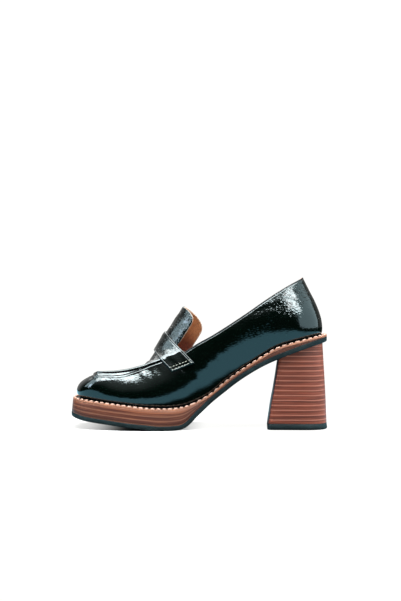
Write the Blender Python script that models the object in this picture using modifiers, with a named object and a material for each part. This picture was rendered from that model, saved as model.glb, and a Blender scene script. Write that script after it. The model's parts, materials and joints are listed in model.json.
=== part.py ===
"""Loafer pump, right shoe: platform loafer on a stacked block heel.

Metres, +Z up, toe towards -X. The origin is the middle of the heel's walking face.
-Y is the inner side of the foot, +Y the outer side.
"""
import math

import bmesh
import bpy
import numpy as np
from mathutils import Vector
from mathutils.bvhtree import BVHTree

# Driving sizes of the shoe
SOLE_LENGTH = 0.2455        # welt edge, heel to toe
HEEL_SETBACK = 0.030        # rear end of the welt behind the origin
BALL_WIDTH = 0.094          # widest width of the welt edge
SEAT_RISE = 0.0898          # top of the welt at the back of the heel
BACK_HEIGHT = 0.1444        # highest point of the collar
SOLE_FLARE = 0.0015         # how far the forefoot sole spreads below the welt
FLARE_STARTS = 9.0          # place on WELT_EDGE where that spread starts
FLARE_ROWS = 6.0            # rows over which it grows

# Thicknesses
OUTSOLE_FORE = 0.0043
OUTSOLE_SEAT = 0.0045
OUTSOLE_THINS = (0.42, 0.62)  # shares of SOLE_LENGTH between which it changes
WELT_THICK = 0.0015
WELT_WIDTH = 0.010
INSOLE_THICK = 0.0025
WALL = 0.0018               # leather and lining of the upper
RIDGE_RISE = 0.0024         # raised apron seam above the wall
RIDGE_HALF = 0.0014         # half its width
TONGUE_THICK = 0.0020
THROAT_GAP = 0.0020         # throat edge to the tongue's root, under the strap
STRAP_THICK = 0.0017
STRAP_LIFT = 0.0004         # strap above the facets it is laid on

# Fit
CLEAR = 0.0003
FOOT_LIFT = 0.0012          # lasting edge of the wall above the welt
WELT_MARGIN = 0.0050        # welt showing outside the upper
WAIST_MARGIN = 0.0024       # the same along the inner waist
WAIST_PLACE = 8.6           # middle of the waist on WELT_EDGE
WAIST_ROWS = 2.2            # and its reach in rows

# Heel
TOP_PIECE = 0.0058
HEEL_DEPTH = 0.058          # at the floor
HEEL_WIDTH = 0.061          # at the floor
HEEL_CORNER = 0.004
BACK_SHARE = 1.0            # length of the round back as a share of the half width
TOP_PIECE_SPREAD = 0.0006   # how far the top piece spreads at the floor

# Tongue
TONGUE_LENGTH = 0.0336
TONGUE_SLOPE = math.radians(56.8)
TONGUE_HALF = 0.0262
TONGUE_DEPTH = 0.0275
TONGUE_NEAR = math.radians(65)
TONGUE_FAR = math.radians(88)
TONGUE_SIDE = 0.45          # share of its length before its corners start
TONGUE_SQUARE_NEAR = 5.0    # how square its corners are
TONGUE_SQUARE_FAR = 3.0

# Strap, side view of its crown edges and ends
STRAP_FRONT_CROWN = (0.6900, 0.5300)
STRAP_FRONT_END = (0.6045, 0.3860)
STRAP_REAR_CROWN = (0.6410, 0.6480)
STRAP_REAR_END = (0.5190, 0.4430)
STRAP_SWEEP = math.radians(92)

# Welt edge: share of SOLE_LENGTH from the heel, inner and outer half width as shares
# of BALL_WIDTH. A row's number is its place along the edge.
WELT_EDGE = (
    # along, inner, outer
    (0.000, 0.000, 0.000),
    (0.007, 0.106, 0.106),
    (0.026, 0.207, 0.207),
    (0.061, 0.287, 0.289),
    (0.110, 0.336, 0.340),
    (0.167, 0.349, 0.355),
    (0.232, 0.338, 0.349),
    (0.301, 0.308, 0.336),
    (0.367, 0.285, 0.336),
    (0.428, 0.285, 0.355),
    (0.489, 0.323, 0.398),
    (0.546, 0.389, 0.447),
    (0.603, 0.453, 0.483),
    (0.660, 0.489, 0.500),
    (0.717, 0.498, 0.498),
    (0.774, 0.483, 0.481),
    (0.831, 0.453, 0.455),
    (0.884, 0.415, 0.421),
    (0.925, 0.377, 0.379),
    (0.959, 0.330, 0.323),
    (0.987, 0.255, 0.239),
    (1.000, 0.138, 0.117),
    (1.000, 0.000, 0.000),
)

# Side view at every twentieth of SOLE_LENGTH from the heel, as shares of SEAT_RISE
SIDE_VIEW = (
    # outsole bottom, welt top
    (0.927, 1.0000),
    (0.889, 0.9720),
    (0.842, 0.9380),
    (0.792, 0.9020),
    (0.736, 0.8550),
    (0.672, 0.7760),
    (0.592, 0.6890),
    (0.500, 0.5960),
    (0.393, 0.4920),
    (0.282, 0.3790),
    (0.152, 0.2970),
    (0.026, 0.2420),
    (0.000, 0.2235),
    (0.000, 0.2235),
    (0.014, 0.2305),
    (0.026, 0.2445),
    (0.041, 0.2600),
    (0.058, 0.2740),
    (0.073, 0.2900),
    (0.092, 0.3055),
    (0.124, 0.3230),
)

# Quarters, from the back seam to the throat corner. edge is the place on WELT_EDGE;
# along is a share of SOLE_LENGTH, widths and fullness of BALL_WIDTH, heights of
# BACK_HEIGHT. belly and brow are how full the wall is low down and high up.
QUARTER = (
    # edge, along, inner, outer, inner height, outer height, belly, brow
    (0.0, 0.093, 0.000, 0.000, 1.000, 1.000, 0.042, 0.068),
    (1.2, 0.101, 0.096, 0.096, 0.990, 0.988, 0.042, 0.066),
    (2.3, 0.126, 0.181, 0.181, 0.967, 0.960, 0.044, 0.064),
    (3.6, 0.168, 0.239, 0.239, 0.927, 0.914, 0.047, 0.066),
    (5.0, 0.232, 0.277, 0.282, 0.859, 0.838, 0.050, 0.060),
    (6.4, 0.305, 0.293, 0.309, 0.774, 0.744, 0.060, 0.050),
    (7.8, 0.379, 0.298, 0.324, 0.690, 0.654, 0.070, 0.045),
    (9.1, 0.448, 0.303, 0.335, 0.615, 0.580, 0.075, 0.045),
    (10.2, 0.501, 0.309, 0.338, 0.564, 0.533, 0.070, 0.045),
    (11.1, 0.552, 0.314, 0.335, 0.506, 0.484, 0.060, 0.050),
)

# Vamp, from the throat corner to the toe corner: the apron seam on each side, and
# the crown between them.
VAMP = (
    # edge, along, inner, outer, inner height, outer height, belly, brow, crown along, crown height
    (11.1, 0.552, 0.314, 0.335, 0.506, 0.484, 0.060, 0.050, 0.647, 0.603),
    (11.7, 0.578, 0.324, 0.340, 0.488, 0.468, 0.055, 0.050, 0.657, 0.569),
    (12.3, 0.607, 0.335, 0.346, 0.466, 0.448, 0.052, 0.052, 0.671, 0.531),
    (12.9, 0.640, 0.342, 0.349, 0.449, 0.426, 0.050, 0.052, 0.688, 0.481),
    (13.6, 0.672, 0.344, 0.349, 0.430, 0.404, 0.050, 0.052, 0.709, 0.434),
    (14.3, 0.705, 0.342, 0.347, 0.410, 0.384, 0.050, 0.050, 0.735, 0.402),
    (15.0, 0.741, 0.338, 0.343, 0.392, 0.366, 0.048, 0.050, 0.766, 0.378),
    (15.8, 0.782, 0.331, 0.336, 0.376, 0.351, 0.046, 0.052, 0.802, 0.363),
    (16.6, 0.823, 0.321, 0.325, 0.366, 0.341, 0.044, 0.058, 0.843, 0.355),
    (17.4, 0.864, 0.306, 0.307, 0.361, 0.337, 0.040, 0.068, 0.884, 0.350),
    (18.4, 0.896, 0.280, 0.276, 0.360, 0.337, 0.036, 0.080, 0.921, 0.345),
)
CROWN_FULLNESS = 2.3        # how square the arch across the vamp is
TOE_BROW = 0.125            # fullness of the toe's front under the seam
LOWER_PULL = 0.35           # shares of a wall's rise over which it stays upright
UPPER_PULL = 0.30
RIDGE_SINKS = 2.2           # vamp row under the strap where the seam has sunk in
RIDGE_FADE = 1.0            # rows over which it sinks

# Heel block, from its walking face up: share of its height, breast and rear
# positions as shares of HEEL_DEPTH from the origin, half width share of HEEL_WIDTH
HEEL_ROWS = (
    # height, breast, rear, half width, squareness of the back
    (0.00, -0.470, 0.508, 0.490, 3.2),
    (0.12, -0.452, 0.502, 0.482, 3.1),
    (0.30, -0.425, 0.493, 0.472, 2.9),
    (0.50, -0.385, 0.480, 0.464, 2.7),
    (0.72, -0.345, 0.464, 0.460, 2.4),
    (1.00, -0.300, 0.444, 0.458, 2.1),
)

# Facets
EDGE_STEPS = 46             # along each side of the sole
QUARTER_STEPS = 22
VAMP_STEPS = 18
FRONT_STEPS = 10
WALL_STEPS = 7
STRAP_ACROSS = 30
STRAP_ALONG = 6
DRAPE_FINE = 3              # rays to each facet of the strap
TONGUE_ACROSS = 20
TONGUE_ALONG = 9

LEATHER = ("patent leather", (0.012, 0.012, 0.014, 1.0), 0.16, 0.0)
RUBBER = ("black rubber", (0.02, 0.02, 0.02, 1.0), 0.55, 0.0)
WOOD = ("stacked heel", (0.42, 0.19, 0.10, 1.0), 0.5, 0.0)
WELTING = ("welt leather", (0.55, 0.30, 0.18, 1.0), 0.55, 0.0)
LINING = ("tan lining", (0.33, 0.13, 0.05, 1.0), 0.6, 0.0)


def clear_scene():
    for item in list(bpy.data.objects):
        bpy.data.objects.remove(item, do_unlink=True)


def make_collection():
    parts = bpy.data.collections.new("loafer_pump")
    bpy.context.scene.collection.children.link(parts)
    return parts


def make_material(finish):
    name, color, roughness, metallic = finish
    material = bpy.data.materials.new(name)
    material.use_nodes = True
    shader = material.node_tree.nodes["Principled BSDF"]
    shader.inputs["Base Color"].default_value = color
    shader.inputs["Roughness"].default_value = roughness
    shader.inputs["Metallic"].default_value = metallic
    return material


def make_object(name, points, faces, material, parts):
    mesh = bpy.data.meshes.new(name)
    mesh.from_pydata([tuple(p) for p in points], [], faces)
    mesh.validate()
    mesh.materials.append(material)
    mesh.shade_smooth()
    mesh.set_sharp_from_angle(angle=math.radians(40))
    item = bpy.data.objects.new(name, mesh)
    parts.objects.link(item)
    return item


def smooth_row(rows, place):
    """Row of a table at a fractional place, on a smooth curve through its rows."""
    rows = np.asarray(rows, float)
    last = len(rows) - 1
    place = min(max(place, 0.0), float(last))
    low = min(int(place), last - 1)
    f = place - low
    a, b = rows[low], rows[low + 1]
    before = rows[low - 1] if low > 0 else 2 * a - b
    after = rows[low + 2] if low + 2 <= last else 2 * b - a
    m0, m1 = (b - before) / 2, (after - a) / 2
    return ((2 * f ** 3 - 3 * f ** 2 + 1) * a + (f ** 3 - 2 * f ** 2 + f) * m0
            + (3 * f ** 2 - 2 * f ** 3) * b + (f ** 3 - f ** 2) * m1)


def x_at(along):
    return HEEL_SETBACK - along * SOLE_LENGTH


def along_at(x):
    return (HEEL_SETBACK - x) / SOLE_LENGTH


def side_lines(x):
    """Heights of the outsole's bottom and the welt's top at x."""
    bottom, top = smooth_row(SIDE_VIEW, along_at(x) * (len(SIDE_VIEW) - 1))
    return max(0.0, bottom) * SEAT_RISE, top * SEAT_RISE


def outsole_bottom(x):
    return side_lines(x)[0]


def outsole_top(x):
    """The sheet keeps its thickness across its slope."""
    step = 0.002
    slope = (outsole_bottom(x + step) - outsole_bottom(x - step)) / (2 * step)
    thin, thick = OUTSOLE_THINS
    seat = min(max((thick - along_at(x)) / (thick - thin), 0.0), 1.0)
    sheet = OUTSOLE_FORE + (OUTSOLE_SEAT - OUTSOLE_FORE) * seat
    return outsole_bottom(x) + sheet * math.hypot(1.0, slope)


def welt_top(x):
    return side_lines(x)[1]


def welt_bottom(x):
    return welt_top(x) - WELT_THICK


def edge_point(place, side, inset=0.0):
    """Point on the welt edge at a place on its table. side is -1 inner, 1 outer."""
    column = 1 if side < 0 else 2
    mirrored = [(r[0], -r[column]) for r in WELT_EDGE[1:3]][::-1]
    forward = [(r[0], r[column]) for r in WELT_EDGE]
    beyond = [(r[0], -r[column]) for r in WELT_EDGE[-3:-1]][::-1]
    rows = [(a * SOLE_LENGTH, w * BALL_WIDTH) for a, w in mirrored + forward + beyond]
    step = 0.05
    here = smooth_row(rows, place + 2)
    ahead = smooth_row(rows, place + 2 + step) - smooth_row(rows, place + 2 - step)
    ahead /= np.hypot(*ahead)
    along, width = here + inset * np.array((ahead[1], -ahead[0]))
    return HEEL_SETBACK - along, side * width


def margin_at(place, side):
    """Welt showing outside the upper, less along the inner waist."""
    waist = math.exp(-((place - WAIST_PLACE) / WAIST_ROWS) ** 2)
    least = WAIST_MARGIN if side < 0 else (WAIST_MARGIN + WELT_MARGIN) / 2
    return WELT_MARGIN + (least - WELT_MARGIN) * waist


def edge_places(count):
    """Places along one side. The table's rows are closer round the heel and the toe."""
    last = len(WELT_EDGE) - 1
    return [last * i / count for i in range(count + 1)]


def flare_at(place):
    """Share of the spread: none at the waist, all of it from the ball forward."""
    return min(max((place - FLARE_STARTS) / FLARE_ROWS, 0.0), 1.0)


def sole_layer(name, low, high, profile, material, parts, inset=0.0, lasting=False):
    """Closed sheet between two heights. profile rows are (share of height, spread)."""
    places = edge_places(EDGE_STEPS)
    rings = []
    for share, spread in profile:
        sides = []
        for side in (-1, 1):
            run = []
            for place in places:
                gap = margin_at(place, side) if lasting else 0.0
                x, y = edge_point(place, side, inset + gap - spread * flare_at(place))
                run.append((x, y, low(x) + share * (high(x) - low(x))))
            sides.append(run)
        rings.append(sides[0] + sides[1][-2:0:-1])
    count = len(rings[0])
    points = [p for ring in rings for p in ring]
    faces = []
    for r in range(len(rings) - 1):
        for i in range(count):
            j = (i + 1) % count
            faces.append((r * count + i, r * count + j, (r + 1) * count + j, (r + 1) * count + i))
    faces += rungs(0, count, EDGE_STEPS, True)
    faces += rungs((len(rings) - 1) * count, count, EDGE_STEPS, False)
    item = make_object(name, points, faces, material, parts)
    return outward(item)


def rungs(base, count, steps, downward):
    """Faces across a loop from one side to the other."""
    faces = []
    for i in range(steps):
        a, b = i, i + 1
        c, d = (count - b) % count, (count - a) % count
        face = [base + k for k in dict.fromkeys((a, b, c, d))]
        faces.append(tuple(face[::-1] if downward else face))
    return faces


def outward(item):
    shape = bmesh.new()
    shape.from_mesh(item.data)
    bmesh.ops.recalc_face_normals(shape, faces=shape.faces)
    if shape.calc_volume(signed=True) < 0:
        bmesh.ops.reverse_faces(shape, faces=shape.faces)
    shape.to_mesh(item.data)
    shape.free()
    return item


def make_welt(material, parts):
    """Strip round the edge, open in the middle."""
    places = edge_places(EDGE_STEPS)
    loops = []
    for inset in (0.0, WELT_WIDTH):
        sides = []
        for side in (-1, 1):
            sides.append([edge_point(place, side, inset) for place in places])
        loops.append(sides[0] + sides[1][-2:0:-1])
    outer, inner = loops
    rings = [[(x, y, welt_bottom(x)) for x, y in outer], [(x, y, welt_top(x)) for x, y in outer],
             [(x, y, welt_top(x)) for x, y in inner], [(x, y, welt_bottom(x)) for x, y in inner]]
    count = len(outer)
    points = [p for ring in rings for p in ring]
    faces = []
    for r in range(4):
        s = (r + 1) % 4
        for i in range(count):
            j = (i + 1) % count
            faces.append((r * count + i, r * count + j, s * count + j, s * count + i))
    return outward(make_object("welt", points, faces, material, parts))


def heel_outline(breast, rear, half, square):
    """D shaped loop: straight breast with small corners, full round back."""
    corner = [(breast + HEEL_CORNER * (1 - math.cos(turn)), HEEL_CORNER * (1 - math.sin(turn)) - half)
              for turn in (math.radians(d) for d in (0, 30, 60, 90))]
    depth = half * BACK_SHARE
    start = breast + HEEL_CORNER
    side = [(start + (rear - depth - start) * k / 3, -half) for k in range(1, 3)]
    back = []
    for d in range(0, 91, 9):
        turn = math.radians(d)
        power = 2 / square
        back.append((rear - depth + depth * math.sin(turn) ** power, -half * math.cos(turn) ** power))
    back[-1] = (rear, 0.0)
    near = corner + side + back
    return near, [(x, -y) for x, y in near[:-1]][::-1]


def loft_d(name, levels, material, parts):
    """Solid through D shaped loops. levels rows are (breast, rear, half, square, height of x)."""
    points, faces = [], []
    for breast, rear, half, square, height in levels:
        near, far = heel_outline(breast, rear, half, square)
        points += [(x, y, height(x)) for x, y in near + far]
        count = len(near) + len(far)
        steps = len(near) - 1
    for r in range(len(levels) - 1):
        for i in range(count):
            j = (i + 1) % count
            faces.append((r * count + i, r * count + j, (r + 1) * count + j, (r + 1) * count + i))
    top = (len(levels) - 1) * count
    for base in (0, top):
        for i in range(steps):
            a, b = i, i + 1
            c, d = count - 1 - b, count - 1 - a
            face = list(dict.fromkeys((base + a, base + b, base + c, base + d)))
            faces.append(tuple(face[::-1] if base == 0 else face))
    return outward(make_object(name, points, faces, material, parts))


def heel_level(row):
    share, breast, rear, half, square = row
    base = TOP_PIECE + CLEAR

    def height(x):
        seat = outsole_bottom(x) - CLEAR
        return base + share * (seat - base)
    return breast * HEEL_DEPTH, rear * HEEL_DEPTH, half * HEEL_WIDTH, square, height


def make_heel(wood, rubber, parts):
    levels = []
    for i in range(2 * (len(HEEL_ROWS) - 1) + 1):
        levels.append(heel_level(smooth_row(HEEL_ROWS, i / 2)))
    loft_d("heel_block", levels, wood, parts)
    breast, rear, half, square, _ = heel_level(HEEL_ROWS[0])
    spread = TOP_PIECE_SPREAD
    low = (breast - spread, rear + spread, half + spread, square, lambda x: 0.0)
    high = (breast, rear, half, square, lambda x: TOP_PIECE)
    loft_d("top_piece", [low, high], rubber, parts)


def wall_column(foot, top, belly, brow, normal, shares):
    """Points up the wall, a cubic curve from the lasting edge to the top."""
    rise = top[2] - foot[2]
    lower = foot + normal * belly + np.array((0.0, 0.0, LOWER_PULL * rise))
    upper = top + normal * brow - np.array((0.0, 0.0, UPPER_PULL * rise))
    run = []
    for v in shares:
        run.append((1 - v) ** 3 * foot + 3 * v * (1 - v) ** 2 * lower
                   + 3 * v * v * (1 - v) * upper + v ** 3 * top)
    return run


def lasting_point(place, side):
    """Lasting edge of the last, and its outward direction in plan."""
    inset = margin_at(place, side) + WALL
    x, y = edge_point(place, side, inset)
    ox, oy = edge_point(place, side, inset - 0.001)
    normal = np.array((ox - x, oy - y, 0.0))
    normal /= np.linalg.norm(normal)
    return np.array((x, y, welt_top(x) + FOOT_LIFT)), normal


def top_point(row, side):
    along, width, height = row[1], row[2 if side < 0 else 3], row[4 if side < 0 else 5]
    return np.array((x_at(along), side * width * BALL_WIDTH, height * BACK_HEIGHT))


def side_section(row, side):
    """Lasting edge, top edge and fullness of the last at one row."""
    foot, normal = lasting_point(row[0], side)
    top = top_point(row, side) - normal * WALL
    return foot, top, row[6] * BALL_WIDTH, row[7] * BALL_WIDTH, normal


def crown_point(place):
    """Crown of the last on the centre line."""
    step = 0.1
    here = smooth_row(VAMP, place)
    gap = smooth_row(VAMP, place - step)[8:10] - smooth_row(VAMP, place + step)[8:10]
    run = np.array((-gap[0] * SOLE_LENGTH, gap[1] * BACK_HEIGHT))
    run /= np.hypot(*run)
    normal = np.array((-run[1], run[0])) * (1 if run[0] > 0 else -1)
    x, z = x_at(here[8]), here[9] * BACK_HEIGHT
    return np.array((x - normal[0] * WALL, 0.0, z - normal[1] * WALL))


def arch(a, b, crown, w):
    """Point across the vamp from the inner seam a to the outer seam b."""
    base = (1 - w) * a + w * b
    lift = 1 - abs(2 * w - 1) ** CROWN_FULLNESS
    return base + lift * (crown - (a + b) / 2)


def wall_shares(length):
    """Steps up the wall, with a narrow last one beside the seam."""
    narrow = 1 - RIDGE_HALF / length
    return [narrow * i / (WALL_STEPS - 1) for i in range(WALL_STEPS)] + [1.0]


def across_shares(width):
    """Steps across the apron, with a narrow one at each end beside the seam."""
    narrow = RIDGE_HALF / width
    middle = [narrow + (1 - 2 * narrow) * i / (FRONT_STEPS - 2) for i in range(FRONT_STEPS - 1)]
    return [0.0] + middle + [1.0]


def last_surface():
    """The last as one open surface: walls round the shoe and the apron between them."""
    points, faces, seam = [], [], {}

    def add(p):
        points.append(tuple(p))
        return len(points) - 1

    last = len(VAMP) - 1
    columns = []
    quarter_places = [(len(QUARTER) - 1) * i / QUARTER_STEPS for i in range(QUARTER_STEPS)]
    row_length = (VAMP[-1][8] - VAMP[-2][8]) * SOLE_LENGTH
    vamp_places = [last * i / VAMP_STEPS for i in range(VAMP_STEPS)] + [last - RIDGE_HALF / row_length, last]

    def side_columns(side, first):
        run = []
        for place in quarter_places[first:]:
            run.append((side_section(smooth_row(QUARTER, place), side), 0.0))
        for place in vamp_places:
            raised = min(max((place - RIDGE_SINKS) / RIDGE_FADE, 0.0), 1.0)
            run.append((side_section(smooth_row(VAMP, place), side), raised))
        return run

    inner = side_columns(-1, 0)
    outer = side_columns(1, 1)
    corner_in, corner_out = inner[-1][0][1], outer[-1][0][1]
    crown = crown_point(last)
    shares = across_shares(corner_out[1] - corner_in[1])
    front = []
    toe_edge = len(WELT_EDGE) - 1
    start = VAMP[-1][0]
    for w in shares[1:-1]:
        side = -1 if w < 0.5 else 1
        reach = 2 * w if w < 0.5 else 2 * (1 - w)
        foot, normal = lasting_point(start + (toe_edge - start) * reach, side)
        top = arch(corner_in, corner_out, crown, w)
        belly, brow = inner[-1][0][2:4]
        brow += (TOE_BROW * BALL_WIDTH - brow) * math.sin(reach * math.pi / 2)
        front.append(((foot, top, belly, brow, normal), 1.0))

    loop = inner + front + outer[::-1]
    for section, raised in loop:
        foot, top, belly, brow, normal = section
        run = wall_column(foot, top, belly, brow, normal,
                          wall_shares(np.linalg.norm(top - foot)))
        ids = [add(p) for p in run]
        seam[ids[-1]] = raised
        columns.append(ids)
    count = len(columns)
    for c in range(count):
        a, b = columns[c], columns[(c + 1) % count]
        for r in range(len(a) - 1):
            faces.append((a[r], b[r], b[r + 1], a[r + 1]))

    rows_here = range(len(vamp_places))
    inner_tops = [columns[len(quarter_places) + k][-1] for k in rows_here]
    outer_tops = [columns[count - len(quarter_places) - k][-1] for k in rows_here]
    front_tops = [columns[len(inner) + k][-1] for k in range(len(front))]
    rows = [[inner_tops[-1]] + front_tops + [outer_tops[-1]]]
    for k, place in enumerate(vamp_places[-2::-1]):
        a_id, b_id = inner_tops[-2 - k], outer_tops[-2 - k]
        a, b = np.array(points[a_id]), np.array(points[b_id])
        top = crown_point(place)
        rows.append([a_id] + [add(arch(a, b, top, w)) for w in across_shares(b[1] - a[1])[1:-1]] + [b_id])
    for r in range(len(rows) - 1):
        a, b = rows[r], rows[r + 1]
        for i in range(len(a) - 1):
            faces.append((a[i], b[i], b[i + 1], a[i + 1]))
    return points, faces, seam


def make_upper(material, parts):
    points, faces, seam = last_surface()
    item = make_object("upper", points, faces, material, parts)
    group = item.vertex_groups.new(name="wall")
    plain = WALL / (WALL + RIDGE_RISE)
    for index in range(len(points)):
        weight = plain + (1 - plain) * seam.get(index, 0.0)
        group.add([index], weight, "REPLACE")
    face_out(item)
    wall = item.modifiers.new("wall", "SOLIDIFY")
    wall.thickness = WALL + RIDGE_RISE
    wall.offset = 1.0
    wall.use_rim = True
    wall.vertex_group = "wall"
    return item


def face_out(item):
    """Turn an open surface's faces away from the inside of the shoe."""
    shape = bmesh.new()
    shape.from_mesh(item.data)
    bmesh.ops.recalc_face_normals(shape, faces=shape.faces)
    shape.faces.ensure_lookup_table()
    lowest = min(shape.faces, key=lambda f: f.calc_center_median().y)
    if lowest.normal.y > 0:
        bmesh.ops.reverse_faces(shape, faces=shape.faces)
    shape.to_mesh(item.data)
    shape.free()


def grid_faces(rows, columns):
    faces = []
    for r in range(rows - 1):
        for c in range(columns - 1):
            a = r * columns + c
            faces.append((a, a + 1, a + columns + 1, a + columns))
    return faces


def make_tongue(material, parts):
    """Arched flap that carries the vamp's crown line on above the throat."""
    run = np.array((math.cos(TONGUE_SLOPE), 0.0, math.sin(TONGUE_SLOPE)))
    inward = np.array((math.sin(TONGUE_SLOPE), 0.0, -math.cos(TONGUE_SLOPE)))
    start = crown_point(0.0) + run * THROAT_GAP
    points = []
    for r in range(TONGUE_ALONG + 1):
        for c in range(TONGUE_ACROSS + 1):
            u = 2 * c / TONGUE_ACROSS - 1
            turn = u * (TONGUE_NEAR if u < 0 else TONGUE_FAR)
            square = TONGUE_SQUARE_NEAR if u < 0 else TONGUE_SQUARE_FAR
            reach = TONGUE_SIDE + (1 - TONGUE_SIDE) * (1 - abs(u) ** square) ** (1 / square)
            along = TONGUE_LENGTH * reach * r / TONGUE_ALONG
            p = start + run * along + inward * TONGUE_DEPTH * (1 - math.cos(turn))
            p[1] += TONGUE_HALF * math.sin(turn)
            points.append(p)
    item = make_object("tongue", points, grid_faces(TONGUE_ALONG + 1, TONGUE_ACROSS + 1), material, parts)
    return leather_sheet(item, TONGUE_THICK, TONGUE_ACROSS // 2, Vector((-1.0, 0.0, 0.0)))


def surface_tree(items):
    """Search tree over the finished faces of some objects."""
    graph = bpy.context.evaluated_depsgraph_get()
    points, faces = [], []
    for item in items:
        mesh = item.evaluated_get(graph).to_mesh()
        base = len(points)
        points += [v.co.copy() for v in mesh.vertices]
        faces += [tuple(base + i for i in p.vertices) for p in mesh.polygons]
    return BVHTree.FromPolygons(points, faces)


def side_place(share):
    return np.array((x_at(share[0]), 0.0, share[1] * BACK_HEIGHT))


def bridge(distances):
    """Fill what the rays missed from their neighbours."""
    found = [(i, d) for i, d in enumerate(distances) if d is not None]
    return np.interp(range(len(distances)), [i for i, _ in found], [d for _, d in found])


def strap_frame(f):
    """Axis point and crown direction of the strap's section at a share of its width."""
    crown = (1 - f) * side_place(STRAP_FRONT_CROWN) + f * side_place(STRAP_REAR_CROWN)
    end = (1 - f) * side_place(STRAP_FRONT_END) + f * side_place(STRAP_REAR_END)
    up = (crown - end) / np.linalg.norm(crown - end)
    return end, up


def strap_aim(up, share):
    turn = STRAP_SWEEP * (2 * share - 1)
    return up * math.cos(turn) + np.array((0.0, math.sin(turn), 0.0))


def drape(under):
    """Distances from the strap's axis to the high spots of what it lies on."""
    tree = surface_tree(under)
    outside = 0.09
    rows = []
    for r in range(STRAP_ALONG * DRAPE_FINE + 1):
        end, up = strap_frame(r / (STRAP_ALONG * DRAPE_FINE))
        row = []
        for c in range(STRAP_ACROSS * DRAPE_FINE + 1):
            aim = strap_aim(up, c / (STRAP_ACROSS * DRAPE_FINE))
            hit = tree.ray_cast(Vector(end + aim * outside), Vector(-aim), outside * 0.8)[0]
            row.append(None if hit is None else np.linalg.norm(np.array(hit) - end))
        rows.append(bridge(row))
    fine = np.pad(np.array(rows), DRAPE_FINE, mode="edge")
    high = np.zeros((STRAP_ALONG + 1, STRAP_ACROSS + 1))
    for r in range(STRAP_ALONG + 1):
        for c in range(STRAP_ACROSS + 1):
            near = fine[r * DRAPE_FINE:(r + 2) * DRAPE_FINE + 1, c * DRAPE_FINE:(c + 2) * DRAPE_FINE + 1]
            high[r, c] = near.max()
    return straighten(high)


def straighten(high):
    """Flat leather: straight from its front edge to its rear edge, clear of what is under it."""
    share = np.linspace(0.0, 1.0, len(high))[:, None]
    flat = (1 - share) * high[0] + share * high[-1]
    flat = flat + np.maximum(high - flat, 0.0).max(axis=0)
    soft = np.pad(flat, ((0, 0), (2, 2)), mode="edge")
    soft = (soft[:, :-4] + soft[:, 1:-3] + soft[:, 2:-2] + soft[:, 3:-1] + soft[:, 4:]) / 5
    return np.maximum(flat, soft)


def make_strap(under, material, parts):
    """Saddle strap laid over the vamp and the tongue's root, end to end."""
    high = drape(under)
    points = []
    for r in range(STRAP_ALONG + 1):
        end, up = strap_frame(r / STRAP_ALONG)
        for c in range(STRAP_ACROSS + 1):
            points.append(end + strap_aim(up, c / STRAP_ACROSS) * (high[r, c] + CLEAR + STRAP_LIFT))
    item = make_object("saddle_strap", points, grid_faces(STRAP_ALONG + 1, STRAP_ACROSS + 1), material, parts)
    return leather_sheet(item, STRAP_THICK, STRAP_ACROSS // 2, Vector((0.0, 0.0, 1.0)))


def leather_sheet(item, thick, sample, outer):
    """Turn an open sheet's faces to its outer side and give it its thickness."""
    shape = bmesh.new()
    shape.from_mesh(item.data)
    shape.faces.ensure_lookup_table()
    shape.normal_update()
    if shape.faces[sample].normal.dot(outer) < 0:
        bmesh.ops.reverse_faces(shape, faces=shape.faces)
    shape.to_mesh(item.data)
    shape.free()
    wall = item.modifiers.new("wall", "SOLIDIFY")
    wall.thickness = thick
    wall.offset = 1.0
    wall.use_rim = True
    return item


def main():
    clear_scene()
    parts = make_collection()
    leather, rubber = make_material(LEATHER), make_material(RUBBER)
    wood, welting, lining = make_material(WOOD), make_material(WELTING), make_material(LINING)
    sole_layer("outsole", outsole_bottom, outsole_top,
               ((0.0, 0.5 * SOLE_FLARE), (0.3, SOLE_FLARE), (1.0, SOLE_FLARE)), rubber, parts)
    sole_layer("platform", lambda x: outsole_top(x) + CLEAR, lambda x: welt_bottom(x) - CLEAR,
               ((0.0, 0.85 * SOLE_FLARE), (0.5, 0.5 * SOLE_FLARE), (1.0, 0.0)), wood, parts)
    make_welt(welting, parts)
    make_heel(wood, rubber, parts)
    sole_layer("insole", lambda x: welt_top(x) + CLEAR, lambda x: welt_top(x) + CLEAR + INSOLE_THICK,
               ((0.0, 0.0), (1.0, 0.0)), lining, parts, inset=WALL + 2 * CLEAR, lasting=True)
    upper = make_upper(leather, parts)
    tongue = make_tongue(leather, parts)
    make_strap((upper, tongue), leather, parts)


main()
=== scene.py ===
"""Loafer pump, dressed: a right shoe in crinkled patent leather on a stacked platform and heel.

Metres, +Z up, toe towards -X. -Y is the inner side of the foot, +Y the outer side.
The shapes repeat the shoe's own sizes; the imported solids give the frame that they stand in.
"""
import json
import logging
import math
from collections.abc import Callable
from dataclasses import dataclass, field
from enum import Enum
from functools import cached_property

import bpy
import numpy as np
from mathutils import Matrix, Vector
from mathutils.bvhtree import BVHTree

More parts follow.
